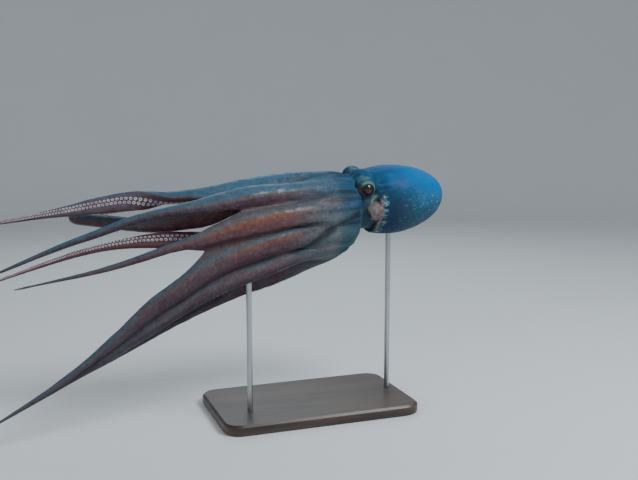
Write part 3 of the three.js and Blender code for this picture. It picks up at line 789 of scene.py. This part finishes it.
def sculpt(mesh, settings):
    """Adds the wrinkles, the lids round the eyes, and the traits that depend on which way the skin faces."""
    lies, fleshes, tones = (read_trait(mesh, name) for name in ("lie", "flesh", "tone"))
    normals = [Vector(normal.vector) for normal in mesh.vertex_normals]
    eyes = [(placed(middle), gaze) for middle, gaze in map(eye_frame, (-1, 1))]
    crest = Line([Vector(stop) for stop in HOOD_CREST])
    facing, near_eye = [], []
    for vert, normal, lie, flesh, tone in zip(mesh.vertices, normals, lies, fleshes, tones):
        point, shift, seen = vert.co.copy(), Vector(), (0.0, 0.0, 0.0)
        crease = crease_depth(lie)
        hood = hood_height(point / MM - CROWN_MIDDLE, crest) * (1 - flesh.y)
        height = fold_height(point, lie, flesh, tone, settings)
        height += (hood * HOOD_HEIGHT - crease * (1 - flesh.y)) * MM
        for middle, gaze in eyes:
            if (point - middle).length <= LIDS_REACH:
                point, shift, wrinkled, seen = lid_fold(point, middle, gaze)
                height *= wrinkled
        vert.co = point + normal * height + shift
        facing += [0.0, min(1.0, crease / DARKEST_CREASE), hood]
        near_eye += seen
    # The finish paints light on the skin that faces up, and shade on the skin that faces down.
    facing[::3] = [smoothstep(normal.vector.z, *FACES_UP) for normal in mesh.vertex_normals]
    for name, values in (("facing", facing), ("near_eye", near_eye)):
        mesh.attributes.new(name, "FLOAT_VECTOR", "POINT").data.foreach_set("vector", values)


def subdivided(piece, levels):
    """Puts the smooth subdivision of the piece's mesh in its place."""
    modifier = piece.modifiers.new("smooth", "SUBSURF")
    modifier.levels = modifier.render_levels = levels
    bpy.context.view_layer.update()
    graph = bpy.context.evaluated_depsgraph_get()
    mesh = bpy.data.meshes.new_from_object(piece.evaluated_get(graph), preserve_all_data_layers=True,
                                           depsgraph=graph)
    piece.modifiers.clear()
    rough, piece.data = piece.data, mesh
    bpy.data.meshes.remove(rough)
    mesh.name = piece.name
    return mesh


def build_skin(settings):
    """The one skin of all the flesh: the cage, smoothed, wrinkled and given its finish."""
    skin = new_piece("skin", build_cage())
    mesh = subdivided(skin, 2)
    sculpt(mesh, settings)
    dress(mesh, skin_finish(settings))
    flesh = [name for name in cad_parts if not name.startswith(("stand_", "eye_"))]
    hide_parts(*flesh)


# ---------------- suckers

SUCKER_SIDES = 8
# A sucker of diameter 1, from its stalk over its rim into its cup: radius and height.
SUCKER_PROFILE = [(0.37, -0.12), (0.36, 0.12), (0.5, 0.27), (0.44, 0.33), (0.2, 0.22), (0.15, 0.02)]
FIRST_SUCKER, LAST_SUCKER = 34, 0.985  # millimetres from the root, and the share of the length
SMALL_SUCKERS, SMALLEST = 60, 0.6  # millimetres over which the first ones grow, and their share at the root
ROW_ASIDE = 0.52  # how far each row lies from an arm's middle line, over the sucker's diameter
SUCKER_SINKS = 0.04  # how deep a sucker sits in the skin, over its diameter
SKIN_WITHIN = 0.05  # metres from an arm's middle line to its skin, at most
FOLLOWS_SKIN = 0.6  # how much a sucker's axis follows the skin under it
SIZES_VARY, HEIGHTS_VARY, VARIES = 0.08, 0.15, 900  # by how much they vary, and how fast from place to place


def sucker_mesh():
    """One sucker, turned from a ring: stalk, rim and cup."""
    bm = bmesh.new()
    bmesh.ops.contextual_create(bm, geom=turned(bm, SUCKER_PROFILE, SUCKER_SIDES))
    rims = [edge for edge in bm.edges if len(edge.link_faces) == 1]
    bmesh.ops.holes_fill(bm, edges=rims, sides=SUCKER_SIDES)
    bmesh.ops.recalc_face_normals(bm, faces=bm.faces)
    return as_mesh("sucker", bm)


def sucker_places(arm, settings):
    """Where an arm's suckers stand: the share of the length, the row's side and the diameter, in mm."""
    distance, side = FIRST_SUCKER, 1
    while distance < arm.length * LAST_SUCKER:
        share = distance / arm.length
        size = arm.width / 2 * arm.muscle(share) * settings.share_of_arm
        size *= lerp(SMALLEST, 1, smoothstep(distance, FIRST_SUCKER, FIRST_SUCKER + SMALL_SUCKERS))
        size = min(size, settings.largest_diameter / MM)
        yield share, side, size
        distance += size * settings.spacing
        side = -side


def build_suckers(settings):
    """The suckers of each arm, in two rows that take turns, bedded in the skin."""
    surface = BVHTree.FromObject(bpy.data.objects["skin"], bpy.context.evaluated_depsgraph_get())
    pattern, finish = sucker_mesh(), sucker_finish(settings)
    for arm in arms:
        bm = bmesh.new()
        for share, side, size in sucker_places(arm, settings):
            out, across = arm.axes(share)
            start = placed(arm.line.point(share) + across * (side * size * ROW_ASIDE))
            found, normal, _, _ = surface.ray_cast(start, -out, SKIN_WITHIN)
            if found is None:
                continue
            axis = (normal * FOLLOWS_SKIN - out + across * (side * settings.splay)).normalized()
            jitter = noise.noise(found * VARIES)
            scale = size * MM * (1 + SIZES_VARY * jitter)
            stand = Matrix.LocRotScale(found - axis * (SUCKER_SINKS * scale), axis.to_track_quat("Z", "X"),
                                       (scale, scale, scale * (1 + HEIGHTS_VARY * jitter)))
            before = len(bm.verts)
            bm.from_mesh(pattern)
            bm.verts.ensure_lookup_table()
            bmesh.ops.transform(bm, matrix=stand, verts=bm.verts[before:])
        dress(new_piece(f"suckers_{arm.name}", bm).data, finish)
    bpy.data.meshes.remove(pattern)


# ---------------- eyes

CLEAR_FRONT = 0.72, 1.0  # the cosines of the angles from the gaze between which the clear front rises
BALL_SIDES, BALL_RINGS = 48, 32


def build_eyes(settings):
    """The two eyeballs, with traits that tell the finish how far each place is from the gaze."""
    finish = eye_finish(settings)
    for name, side in (("eye_left", -1), ("eye_right", 1)):
        low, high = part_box(name)
        radius = (high.x - low.x) / 2
        middle, gaze = eye_frame(side)
        centre = placed(middle + gaze * EYE_PROUD)
        turn = gaze.to_track_quat("Z", "Y").to_matrix().to_4x4()
        bm = bmesh.new()
        ball = bmesh.ops.create_uvsphere(bm, u_segments=BALL_SIDES, v_segments=BALL_RINGS, radius=radius,
                                         matrix=Matrix.Translation(centre) @ turn)["verts"]
        # The clear front stands out a little from the ball.
        for vert in ball:
            away = (vert.co - centre).normalized()
            vert.co += away * (settings.front_bulge * smoothstep(away.dot(gaze), *CLEAR_FRONT))
        piece = new_piece(f"{name}_ball", bm)
        upward = gaze.cross(FORWARD) * side
        values = []
        for vert in piece.data.vertices:
            away = (vert.co - centre) / radius
            values += [away.dot(direction) for direction in (FORWARD, upward, gaze)]
        piece.data.attributes.new("look", "FLOAT_VECTOR", "POINT").data.foreach_set("vector", values)
        dress(piece.data, finish)
        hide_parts(name)


# ---------------- finishes


class Wire:
    """One output of a shader node. Arithmetic on it adds Math nodes."""

    def __init__(self, tree, socket=None):
        self.tree, self.socket = tree, socket

    def make(self, kind, settings=None, inputs=None, output=None):
        """Adds a node: its settings first, then the values or wires of its sockets. Returns one output."""
        node = self.tree.nodes.new(kind)
        for name, value in (settings or {}).items():
            setattr(node, name, value)
        for key, value in (inputs or {}).items():
            if isinstance(value, Wire):
                self.tree.links.new(value.socket, node.inputs[key])
            else:
                node.inputs[key].default_value = value
        return Wire(self.tree, node.outputs[output] if output else next(s for s in node.outputs if s.enabled))

    def math(self, operation, *values):
        return self.make("ShaderNodeMath", {"operation": operation}, dict(enumerate(values)))

    def __add__(self, other):
        return self.math("ADD", self, other)

    __radd__ = __add__

    def __mul__(self, other):
        return self.math("MULTIPLY", self, other)

    __rmul__ = __mul__

    def __sub__(self, other):
        return self.math("SUBTRACT", self, other)

    def __rsub__(self, other):
        return self.math("SUBTRACT", other, self)

    def __truediv__(self, other):
        return self.math("DIVIDE", self, other)

    def __pow__(self, other):
        return self.math("POWER", self, other)

    def ramp(self, low, high):
        """0 below the low value, 1 above the high one, and smooth between. It may also run downwards."""
        start, end, first, last = (low, high, 0.0, 1.0) if low < high else (high, low, 1.0, 0.0)
        return self.make("ShaderNodeMapRange", {"interpolation_type": "SMOOTHSTEP"},
                         {0: self, 1: start, 2: end, 3: first, 4: last})

    def mix(self, first, second):
        """A colour between two others, by this value."""
        colours = [colour if isinstance(colour, Wire) else [*colour, 1] for colour in (first, second)]
        return self.make("ShaderNodeMix", {"data_type": "RGBA"}, {0: self, 6: colours[0], 7: colours[1]})

    def place(self):
        """Where each point lies on the model."""
        return self.make("ShaderNodeTexCoord", None, None, "Object")

    def attribute(self, name):
        """What one of the mesh's own attributes says at each point."""
        return self.make("ShaderNodeAttribute", {"attribute_name": name}, None, "Vector")

    def parts(self, axes="XYZ"):
        """The vector's numbers along these axes."""
        return [self.make("ShaderNodeSeparateXYZ", None, {0: self}, axis) for axis in axes]

    def scaled(self, *factors):
        return self.make("ShaderNodeMapping", None, {"Vector": self, "Scale": factors})

    def noise(self, scale, detail=3.0, rough=0.55, warp=0.0):
        return self.make("ShaderNodeTexNoise", None, {"Vector": self, "Scale": scale, "Detail": detail,
                                                      "Roughness": rough, "Distortion": warp}, "Fac")

    def network(self, scale):
        """How far each point is from the border of a pattern's cells."""
        return self.make("ShaderNodeTexVoronoi", {"feature": "DISTANCE_TO_EDGE"},
                         {"Vector": self, "Scale": scale}, "Distance")

    def bump(self, strength, distance, under=None):
        """The surface's direction, bent by this height on top of another bump."""
        below = {"Normal": under} if under else {}
        return self.make("ShaderNodeBump", None,
                         {"Height": self, "Strength": strength, "Distance": distance, **below})


def coated(colour, *coats):
    """The colour with others laid over it in turn, each by its own amount."""
    for amount, over in coats:
        colour = amount.mix(colour, over)
    return colour


def new_finish(name):
    """A material with nothing but its shader, the wire to build on, and the shader's node."""
    material = bpy.data.materials.new(name)
    material.use_nodes = True
    tree = material.node_tree
    tree.nodes.clear()
    shader = tree.nodes.new("ShaderNodeBsdfPrincipled")
    output = tree.nodes.new("ShaderNodeOutputMaterial")
    tree.links.new(shader.outputs[0], output.inputs[0])
    return material, Wire(tree), shader


def wear(shader, constants, **varying):
    """Sets the shader's constant sockets, and links what varies over the surface."""
    for name, value in constants.items():
        shader.inputs[name].default_value = value
    for name, value in varying.items():
        value.tree.links.new(value.socket, shader.inputs[name.replace("_", " ")])


def skin_finish(settings):
    """Moist skin: slate-blue on the mantle, mauve to rust-brown with grey ridges on the arms, pale inside;
    painted light and shade make the tops bluer and greyer, the undersides duller, and darken the folds.
    """
    material, wire, shader = new_finish("octopus_skin")
    place, lie = wire.place(), wire.attribute("lie")
    arm, oral, web = wire.attribute("flesh").parts()
    rust, ridge = wire.attribute("tone").parts("XY")
    upper, crease, hood = wire.attribute("facing").parts()
    ahead_and_up, mound, by_eye = wire.attribute("near_eye").parts()
    along = lie.parts("Z")[0] * 1000  # millimetres from the arms' roots, and below 0 on the body
    ahead, near = along / -MANTLE_APEX, along.ramp(110, 5)

    broad = place.noise(16, 3.0, 0.5)
    clouds = place.noise(46, 5.0, 0.6, 0.4)
    blotch = place.noise(120, 4.0, 0.6, 0.6)
    mottle = place.noise(250, 4.0, 0.7)
    grain = place.noise(760, 3.0, 0.6)
    network = place.network(330)
    brushed = place.scaled(0.4, 1, 1).noise(190, 3.0, 0.6)
    dashes = place.scaled(0.25, 1, 1).noise(420, 2.0, 0.6)
    streaks = lie.scaled(7, 7, 13).noise(1.0, 4.0, 0.6, 0.8)
    fibres = lie.scaled(18, 18, 44).noise(1.0, 4.0, 0.65, 0.4)

    # The body: slate, bluer ahead, with pale flecks; painted light makes it bluer and brighter above, painted
    # shade duller below and by the neck.
    slates = broad * 0.3 + clouds * 0.3 + brushed * 0.4
    body = coated(
        slates.ramp(0.38, 0.62).mix(settings.slate_deep, settings.slate),
        # Painted light: the mantle turns bluer and brighter where its skin faces up; ahead the bluer slate is
        # its own tone.
        ((upper * 0.5 + ahead * 0.65 + clouds * 0.3).ramp(0.65, 1.2) * 0.85, settings.bright_slate_and_top_light),
        # Painted shade: the body turns duller where its skin faces down.
        ((1.1 - upper - ahead * 0.55 + clouds * 0.3).ramp(0.45, 1.0) * 0.8, settings.slate_underside_shade),
        (ahead.ramp(0.45, 0.75) * upper.ramp(-0.1, 0.25) * 0.45, settings.bright_slate_and_top_light),
        (ahead.ramp(0.4, 0.7) * upper.ramp(0.8, 0.35) * 0.2, settings.lid_teal),
        (network.ramp(0.1, 0.0) * blotch.ramp(0.4, 0.62) * 0.35, settings.slate_deep),
        (brushed.ramp(0.5, 0.72) * ahead.ramp(0.4, 0.9) * 0.5, settings.bright_slate_and_top_light),
        (dashes.ramp(0.56, 0.66) * blotch.ramp(0.42, 0.6) * ahead.ramp(0.4, 0.7) * upper.ramp(0.8, 0.3) * 0.6,
         settings.fleck),
        # Painted light: the recess low by the collar, which lies in shade, is lifted to teal.
        (ahead.ramp(0.31, 0.29) * upper.ramp(0.45, 0.1) * 0.3, settings.lid_teal))

    # The arms: taupe to rust in long streaks, with pale and dark speckles; painted shade turns them mauve
    # below, painted light blue-grey above, with a painted reflection of the blue sky on top.
    faded = rust * (0.42 - 0.2 * along.ramp(130, 300))
    red = (streaks * 0.5 + clouds * 0.3 + mottle * 0.2 + faded - near * 0.25).ramp(0.58, 0.95)
    lit_tops = (upper + ridge * 0.1 - rust * 0.3 + streaks * 0.3 + mottle * 0.3).ramp(0.75, 1.25)
    shoulder = (streaks * 0.7 + blotch * 0.3).ramp(0.46, 0.6).mix(settings.crown, settings.taupe)
    # Painted reflection of the blue sky on the tops of the less rusty arms, fading along them.
    sky_reflection_mask = upper.ramp(0.75, 1.0) * rust.ramp(0.65, 0.15) * (0.7 - 0.4 * along.ramp(110, 240))
    spots = mottle * 0.6 + blotch * 0.4
    limb = coated(
        red.mix(settings.taupe, settings.rust),
        # Painted shade: the arms turn mauve where their skin faces down.
        (upper.ramp(0.5, 0.05) * 0.85, settings.mauve),
        (rust * upper.ramp(0.65, 0.3) * 0.35, settings.web_red),
        # Painted light: the arms turn blue-grey where their skin faces up.
        (lit_tops, settings.grey_ridges_and_top_light),
        (along.ramp(130, 400) * 0.18, settings.grey_ridges_and_top_light),
        (near * (0.5 + 0.5 * blotch), shoulder),
        # Painted light: the crown's lower side, shaded by its own form, is lifted to the pale speckle colour.
        (near * upper.ramp(0.45, 0.1) * 0.5, settings.speckle),
        (sky_reflection_mask + upper.ramp(0.3, 0.95) * along.ramp(140, 330) * 0.2, settings.painted_sky_reflection),
        (spots.ramp(0.5, 0.7) * 0.34, settings.speckle),
        (spots.ramp(0.5, 0.34) * 0.5, settings.dark_speckle_and_fold_shade),
        (web * (0.1 + 0.15 * streaks + 0.6 * oral.ramp(0.05, 0.2)), settings.web_red),
        (along.ramp(120, 320) * 0.22, settings.dark_speckle_and_fold_shade))

    # From the body to the arms over the crown, then what is pale: the side with the mouth and the suckers,
    # the funnel and its hood, the mantle's lip and the lids.
    crown = (arm + 0.4 * (clouds - 0.5)).ramp(0.0, 0.35)
    pale = (blotch * 0.5 + fibres * 0.5).ramp(0.35, 0.7).mix(settings.cream_deep, settings.cream)
    dull = (blotch * 0.5 + mottle * 0.5).ramp(0.4, 0.62).mix(settings.funnel_deep, settings.funnel)
    frill = (arm.ramp(0.4, 0.2) * oral.ramp(0.05, 0.5) * oral.ramp(0.98, 0.9)
             * ahead.ramp(0.31, 0.33) * upper.ramp(0.7, 0.5))
    colour = coated(
        crown.mix(body, limb),
        # Painted shade in the folds over the crown.
        (crease * 0.7, settings.dark_speckle_and_fold_shade),
        (frill * (fibres * 0.6 + mottle * 0.4).ramp(0.47, 0.55) * 0.7, settings.fleck),
        ((oral * (0.72 + 0.28 * clouds)).ramp(0.5, 0.75), arm.ramp(0.3, 0.6).mix(dull, pale)),
        (hood * (0.6 + 0.4 * blotch), settings.hood),
        (mound * upper.ramp(0.2, 0.9) * clouds.ramp(0.35, 0.6) * 0.6, settings.lid_teal),
        (by_eye.ramp(0.08, 0.3), ahead_and_up.ramp(-0.2, 0.25).mix(settings.lid_brown, settings.lid_teal)),
        (by_eye.ramp(0.34, 0.42) * 0.9, settings.lid_edge))

    folds = (fibres * arm + clouds * 0.5 + mottle * 0.3).bump(0.6, 0.0014)
    wear(shader,
         {"IOR": 1.36, "Specular IOR Level": 0.3, "Coat Roughness": 0.2, "Subsurface Weight": 0.06,
          "Subsurface Radius": (0.006, 0.003, 0.002), "Subsurface Scale": 1.0},
         Base_Color=colour, Roughness=0.56 + 0.2 * clouds - 0.12 * arm,
         Coat_Weight=0.02 + 0.26 * arm * (1 - near) * clouds.ramp(0.6, 0.44),
         Normal=(grain * 0.5 + network.ramp(0.0, 0.12) * 0.3).bump(0.45, 0.0005, folds))
    return material


def sucker_finish(settings):
    """Pale suckers with darker, pinker clouds."""
    material, wire, shader = new_finish("octopus_suckers")
    place = wire.place()
    clouds, speckle = place.noise(60, 3.0), place.noise(700, 2.0)
    wear(shader, {"IOR": 1.4, "Coat Roughness": 0.15, "Subsurface Weight": 0.08,
                  "Subsurface Radius": (0.005, 0.003, 0.002), "Subsurface Scale": 1.0},
         Base_Color=(clouds * 0.6 + speckle * 0.4).ramp(0.35, 0.65).mix(settings.shade, settings.colour),
         Roughness=0.32 + 0.2 * clouds, Coat_Weight=0.3 + 0.3 * clouds, Normal=speckle.bump(0.3, 0.0004))
    return material


def eye_finish(settings):
    """A moist eye: a mottled red-brown iris with a nearly black rim round it."""
    material, wire, shader = new_finish("octopus_eye")
    look = wire.attribute("look")
    across, upward = look.parts("XY")
    from_gaze = ((across * across) + (upward * upward)) ** 0.5
    rays = look.scaled(30, 30, 30).noise(1.0, 4.0, 0.7)
    iris = rays.ramp(0.3, 0.7).mix(settings.iris_deep, settings.iris)
    colour = (from_gaze + 0.12 * (rays - 0.5)).ramp(0.4, 0.6).mix(iris, settings.rim)
    wear(shader, {"IOR": 1.34, "Coat Weight": 0.3, "Coat Roughness": 0.14},
         Base_Color=colour, Roughness=0.22 + 0.1 * rays, Normal=rays.bump(0.1, 0.0002))
    return material


def wood_finish(settings):
    """Dark stained hardwood with fine grain along the base and a satin varnish."""
    material, wire, shader = new_finish("stained_hardwood")
    place = wire.place()
    rings = place.scaled(3.0, 26, 26).noise(1.6, 3.0, 0.5, 1.2)
    grain = place.scaled(14, 420, 420).noise(1.0, 3.0, 0.6)
    wear(shader, {"Coat Roughness": 0.22, "Coat Weight": 0.25},
         Base_Color=(rings * 0.7 + grain * 0.3).ramp(0.34, 0.66).mix(settings.wood_deep, settings.wood),
         Roughness=0.42 + 0.16 * grain, Normal=grain.bump(0.25, 0.0003))
    return material


def steel_finish(settings):
    """Brushed steel: fine marks round the rod."""
    material, wire, shader = new_finish("brushed_steel")
    place = wire.place()
    brush, smudge = place.scaled(40, 40, 2600).noise(1.0, 2.0, 0.6), place.noise(24, 2.0)
    wear(shader, {"Metallic": 1.0}, Base_Color=brush.mix(settings.steel_deep, settings.steel),
         Roughness=0.26 + 0.12 * brush + 0.1 * smudge, Normal=brush.bump(0.15, 0.0001))
    return material


def plain_finish(name, colour):
    """A matt painted surface with a trace of unevenness."""
    material, wire, shader = new_finish(name)
    uneven = wire.place().noise(3, 2.0)
    darker = tuple(channel * 0.96 for channel in colour)
    wear(shader, {}, Base_Color=uneven.mix(darker, colour), Roughness=0.7 + 0.1 * uneven)
    return material


# ---------------- stand, floor, lights and camera


def finish_stand(settings):
    """The stand's own nodes keep their shape and get their finishes."""
    wood, steel = wood_finish(settings), steel_finish(settings)
    for name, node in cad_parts.items():
        if name.startswith("stand_"):
            node.data.materials.clear()
            node.data.materials.append(wood if name == "stand_base" else steel)


FLOOR_REACH, WALL_REACH, WALL_HEIGHT = 2.6, 4.2, 2.6
WALL_STEPS, FLOOR_SIDES = 12, 96


def build_floor(colour):
    """A round floor that turns up into a wall far behind the model, all round it."""
    bm = bmesh.new()
    turns = [math.pi / 2 * number / WALL_STEPS for number in range(WALL_STEPS + 1)]
    turned(bm, [(lerp(FLOOR_REACH, WALL_REACH, math.sin(turn)), WALL_HEIGHT * (1 - math.cos(turn)))
                for turn in turns], FLOOR_SIDES, cap_ends=True, cap_tris=False)
    bmesh.ops.reverse_faces(bm, faces=[face for face in bm.faces if face.normal.z < -0.5])
    floor = in_scene("floor", as_mesh("floor", bm))
    dress(floor.data, plain_finish("pale_floor", colour))
    floor.visible_shadow = False


def aimed(name, data, place, towards):
    """A lamp or a camera at its place, turned towards another place."""
    body = in_scene(name, data)
    body.location = place
    body.rotation_mode = "QUATERNION"
    body.rotation_quaternion = (Vector(towards) - Vector(place)).to_track_quat("-Z", "Y")
    return body


# Each lamp's place, what it is turned to, its width and its colour, and whether it shows as a glint.
LAMPS = {"key": ((0.9, -1.1, 1.7), (0, 0, 0.28), 0.9, (0.92, 0.97, 1.0), True),
         "fill": ((-1.5, -1.2, 0.7), (0, 0, 0.25), 1.2, (1.0, 0.97, 0.94), False),
         "rim": ((0.3, 1.4, 1.3), (0, 0, 0.3), 1.6, (0.88, 0.95, 1.0), True)}


def add_lamps(settings):
    powers = {"key": settings.key_power, "fill": settings.fill_power, "rim": settings.rim_power}
    for name, (place, towards, width, colour, glint) in LAMPS.items():
        lamp = bpy.data.lights.new(name, "AREA")
        lamp.shape, lamp.size, lamp.energy, lamp.color = "DISK", width, powers[name], colour
        aimed(name, lamp, place, towards).visible_glossy = glint


AIM = Vector((0.017, 0, 0.258))
VIEW_AZIMUTH, VIEW_ELEVATION, VIEW_DISTANCE = math.radians(-20), math.radians(8), 1.3
LENS, SENSOR = 48.9, 36


def add_camera():
    back = Vector((math.sin(VIEW_AZIMUTH) * math.cos(VIEW_ELEVATION),
                   -math.cos(VIEW_AZIMUTH) * math.cos(VIEW_ELEVATION), math.sin(VIEW_ELEVATION)))
    lens = bpy.data.cameras.new("camera")
    lens.lens, lens.sensor_width = LENS, SENSOR
    bpy.context.scene.camera = aimed("camera", lens, AIM + back * VIEW_DISTANCE, AIM)


SKY_COLOUR = (0.86, 0.93, 1.0, 1)


def set_sky(brightness):
    world = bpy.data.worlds.new("studio")
    world.use_nodes = True
    sky = world.node_tree.nodes["Background"]
    sky.inputs[0].default_value = SKY_COLOUR
    sky.inputs[1].default_value = brightness
    bpy.context.scene.world = world


# ---------------- settings


def colour_setting(name, description, *rgb):
    return FloatVectorProperty(name=name, description=description, default=linear(*rgb), subtype="COLOR",
                               size=3, min=0, max=1)


def length_setting(name, description, metres):
    return FloatProperty(name=name, description=description, default=metres, unit="LENGTH", precision=5)


def share_setting(name, description, share):
    return FloatProperty(name=name, description=description, default=share, subtype="FACTOR")


def power_setting(name, description, watts):
    return FloatProperty(name=name, description=description, default=watts, unit="POWER")


class OctopusSkinSettings(bpy.types.PropertyGroup):
    wrinkle_depth: length_setting("Wrinkle depth", "Height of the skin's wrinkles and folds", 0.0015)
    web_ripple: length_setting("Web ripple", "Height of the ripples in the web", 0.0022)
    slate: colour_setting("Slate", "The mantle's and head's main colour", 16, 62, 90)
    slate_deep: colour_setting("Deep slate", "The darker clouds and network on the mantle", 8, 38, 60)
    # Also painted light: the mantle turns to this colour where its skin faces up.
    bright_slate_and_top_light: colour_setting("Bright slate", "The bluer back and tip of the mantle", 0, 102, 164)
    # Painted shade: the underside of the mantle and head turns to this colour.
    slate_underside_shade: colour_setting("Low slate", "The duller underside of the mantle and head", 24, 46, 70)
    fleck: colour_setting("Flecks", "The small pale flecks on the mantle and its lip", 120, 164, 172)
    taupe: colour_setting("Taupe", "The arms' main colour", 76, 72, 76)
    rust: colour_setting("Rust", "The rust-brown streaks along the arms", 102, 68, 54)
    # Painted shade: the arms' skin that faces down turns this colour.
    mauve: colour_setting("Mauve", "The undersides of the arms' folds", 57, 48, 63)
    # Painted shade: the folds between the arms' roots darken to this colour; it also colours the arms' dark
    # speckles and darkens them towards their tips.
    dark_speckle_and_fold_shade: colour_setting("Dusk", "The dark folds between the arms, and their dark speckles", 16, 22, 32)
    # Also painted light: the arms' skin that faces up turns this grey, besides their ridges and far parts.
    grey_ridges_and_top_light: colour_setting("Ridge grey", "The upper ridges of the arms", 60, 80, 92)
    # Painted reflection: the blue of the sky on the arms' skin that faces up.
    painted_sky_reflection: colour_setting("Back tint", "The blue tint on the topmost arms", 38, 90, 122)
    crown: colour_setting("Crown", "The flesh over the arms' roots", 34, 66, 84)
    # Also painted light: it lifts the crown's shaded lower side.
    speckle: colour_setting("Speckles", "The fine pale speckles on the arms and the crown", 108, 120, 122)
    web_red: colour_setting("Web red", "The web and the flanks beside the suckers", 110, 54, 50)
    cream: colour_setting("Cream", "The face that carries the suckers", 92, 90, 102)
    cream_deep: colour_setting("Deep cream", "The shaded parts of the pale skin", 60, 54, 70)
    funnel: colour_setting("Funnel", "The funnel and the mantle's rim", 116, 104, 104)
    funnel_deep: colour_setting("Deep funnel", "The duller parts of the funnel", 82, 78, 82)
    # Also painted light: it lifts the shaded recess low by the collar.
    lid_teal: colour_setting("Upper lids", "The grey-green over the eyes and in the mantle", 70, 112, 108)
    lid_brown: colour_setting("Lower lids", "The red-brown skin under and behind each eye", 66, 42, 46)
    hood: colour_setting("Funnel hood", "The pale fold of skin over the funnel", 122, 130, 118)
    lid_edge: colour_setting("Lid edge", "The dark edge of the skin where it meets each eye", 20, 24, 26)


class OctopusSuckerSettings(bpy.types.PropertyGroup):
    largest_diameter: length_setting("Largest diameter", "Diameter of the largest suckers", 0.0072)
    share_of_arm: share_setting("Share of the arm", "A sucker's diameter over half the arm's muscle", 0.72)
    spacing: share_setting("Spacing", "From one sucker to the next, over the diameter", 0.6)
    splay: share_setting("Splay", "How far each row leans to its side", 0.3)
    colour: colour_setting("Colour", "The suckers' main colour", 176, 166, 168)
    shade: colour_setting("Shade", "The suckers' darker, pinker clouds", 138, 120, 128)


class OctopusEyeSettings(bpy.types.PropertyGroup):
    front_bulge: length_setting("Front bulge", "How far the clear front stands out of the eyeball", 0.0005)
    iris: colour_setting("Iris", "The iris's main brown", 64, 36, 33)
    iris_deep: colour_setting("Deep iris", "The darker rays in the iris", 32, 21, 21)
    rim: colour_setting("Rim", "The dark rim of the iris", 22, 22, 22)


class OctopusStandSettings(bpy.types.PropertyGroup):
    wood: colour_setting("Wood", "The base's lighter grain", 66, 50, 40)
    wood_deep: colour_setting("Deep wood", "The base's darker grain", 34, 26, 22)
    steel: colour_setting("Steel", "The rods", 206, 208, 210)
    steel_deep: colour_setting("Deep steel", "The brush marks on the rods", 160, 163, 166)


class OctopusStageSettings(bpy.types.PropertyGroup):
    floor: colour_setting("Floor", "The floor and the wall behind", 208, 212, 214)
    key_power: power_setting("Key light", "Power of the light from the upper right", 42)
    fill_power: power_setting("Fill light", "Power of the light from the left", 16)
    rim_power: power_setting("Rim light", "Power of the light from behind", 9)
    sky: FloatProperty(name="Sky", description="Brightness all round", default=0.4, min=0)


# ---------------- operators and panel


class OCTOPUS_OT_stage(bpy.types.Operator):
    """Sets up the camera, the pale floor and the soft lights"""
    bl_idname = "octopus.stage"
    bl_label = "Stage"

    def execute(self, context):
        settings = context.scene.octopus_stage
        add_camera()
        build_floor(settings.floor)
        set_sky(settings.sky)
        add_lamps(settings)
        return {"FINISHED"}


class OCTOPUS_OT_skin(bpy.types.Operator):
    """Builds the one skin that covers the mantle, head, funnel, crown, webs and arms"""
    bl_idname = "octopus.skin"
    bl_label = "Skin"

    def execute(self, context):
        build_skin(context.scene.octopus_skin)
        return {"FINISHED"}


class OCTOPUS_OT_suckers(bpy.types.Operator):
    """Adds the suckers in two rows under each arm"""
    bl_idname = "octopus.suckers"
    bl_label = "Suckers"

    def execute(self, context):
        build_suckers(context.scene.octopus_suckers)
        return {"FINISHED"}


class OCTOPUS_OT_eyes(bpy.types.Operator):
    """Builds the two eyeballs"""
    bl_idname = "octopus.eyes"
    bl_label = "Eyes"

    def execute(self, context):
        build_eyes(context.scene.octopus_eyes)
        return {"FINISHED"}


class OCTOPUS_OT_stand(bpy.types.Operator):
    """Gives the stand's base and rods their finishes"""
    bl_idname = "octopus.stand"
    bl_label = "Stand"

    def execute(self, context):
        finish_stand(context.scene.octopus_stand)
        return {"FINISHED"}


class OCTOPUS_PT_model(bpy.types.Panel):
    """The steps and settings of the octopus model"""
    bl_label = "Octopus"
    bl_idname = "OCTOPUS_PT_model"
    bl_space_type = "VIEW_3D"
    bl_region_type = "UI"
    bl_category = "Octopus"

    def draw(self, context):
        for name, settings in SETTINGS.items():
            box = self.layout.box()
            box.operator(f"octopus.{name}")
            for prop in settings.__annotations__:
                box.prop(getattr(context.scene, f"octopus_{name}"), prop)


SETTINGS = {"stage": OctopusStageSettings, "skin": OctopusSkinSettings, "suckers": OctopusSuckerSettings,
            "eyes": OctopusEyeSettings, "stand": OctopusStandSettings}
CLASSES = [*SETTINGS.values(), OCTOPUS_OT_stage, OCTOPUS_OT_skin, OCTOPUS_OT_suckers, OCTOPUS_OT_eyes,
           OCTOPUS_OT_stand, OCTOPUS_PT_model]


def register():
    for each in CLASSES:
        bpy.utils.register_class(each)
    for name, settings in SETTINGS.items():
        setattr(bpy.types.Scene, f"octopus_{name}", PointerProperty(type=settings))


def unregister():
    for name in SETTINGS:
        delattr(bpy.types.Scene, f"octopus_{name}")
    for each in reversed(CLASSES):
        bpy.utils.unregister_class(each)


def main():
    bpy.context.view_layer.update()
    register()
    for name in SETTINGS:
        getattr(bpy.ops.octopus, name)()


if __name__ == "__main__":
    main()
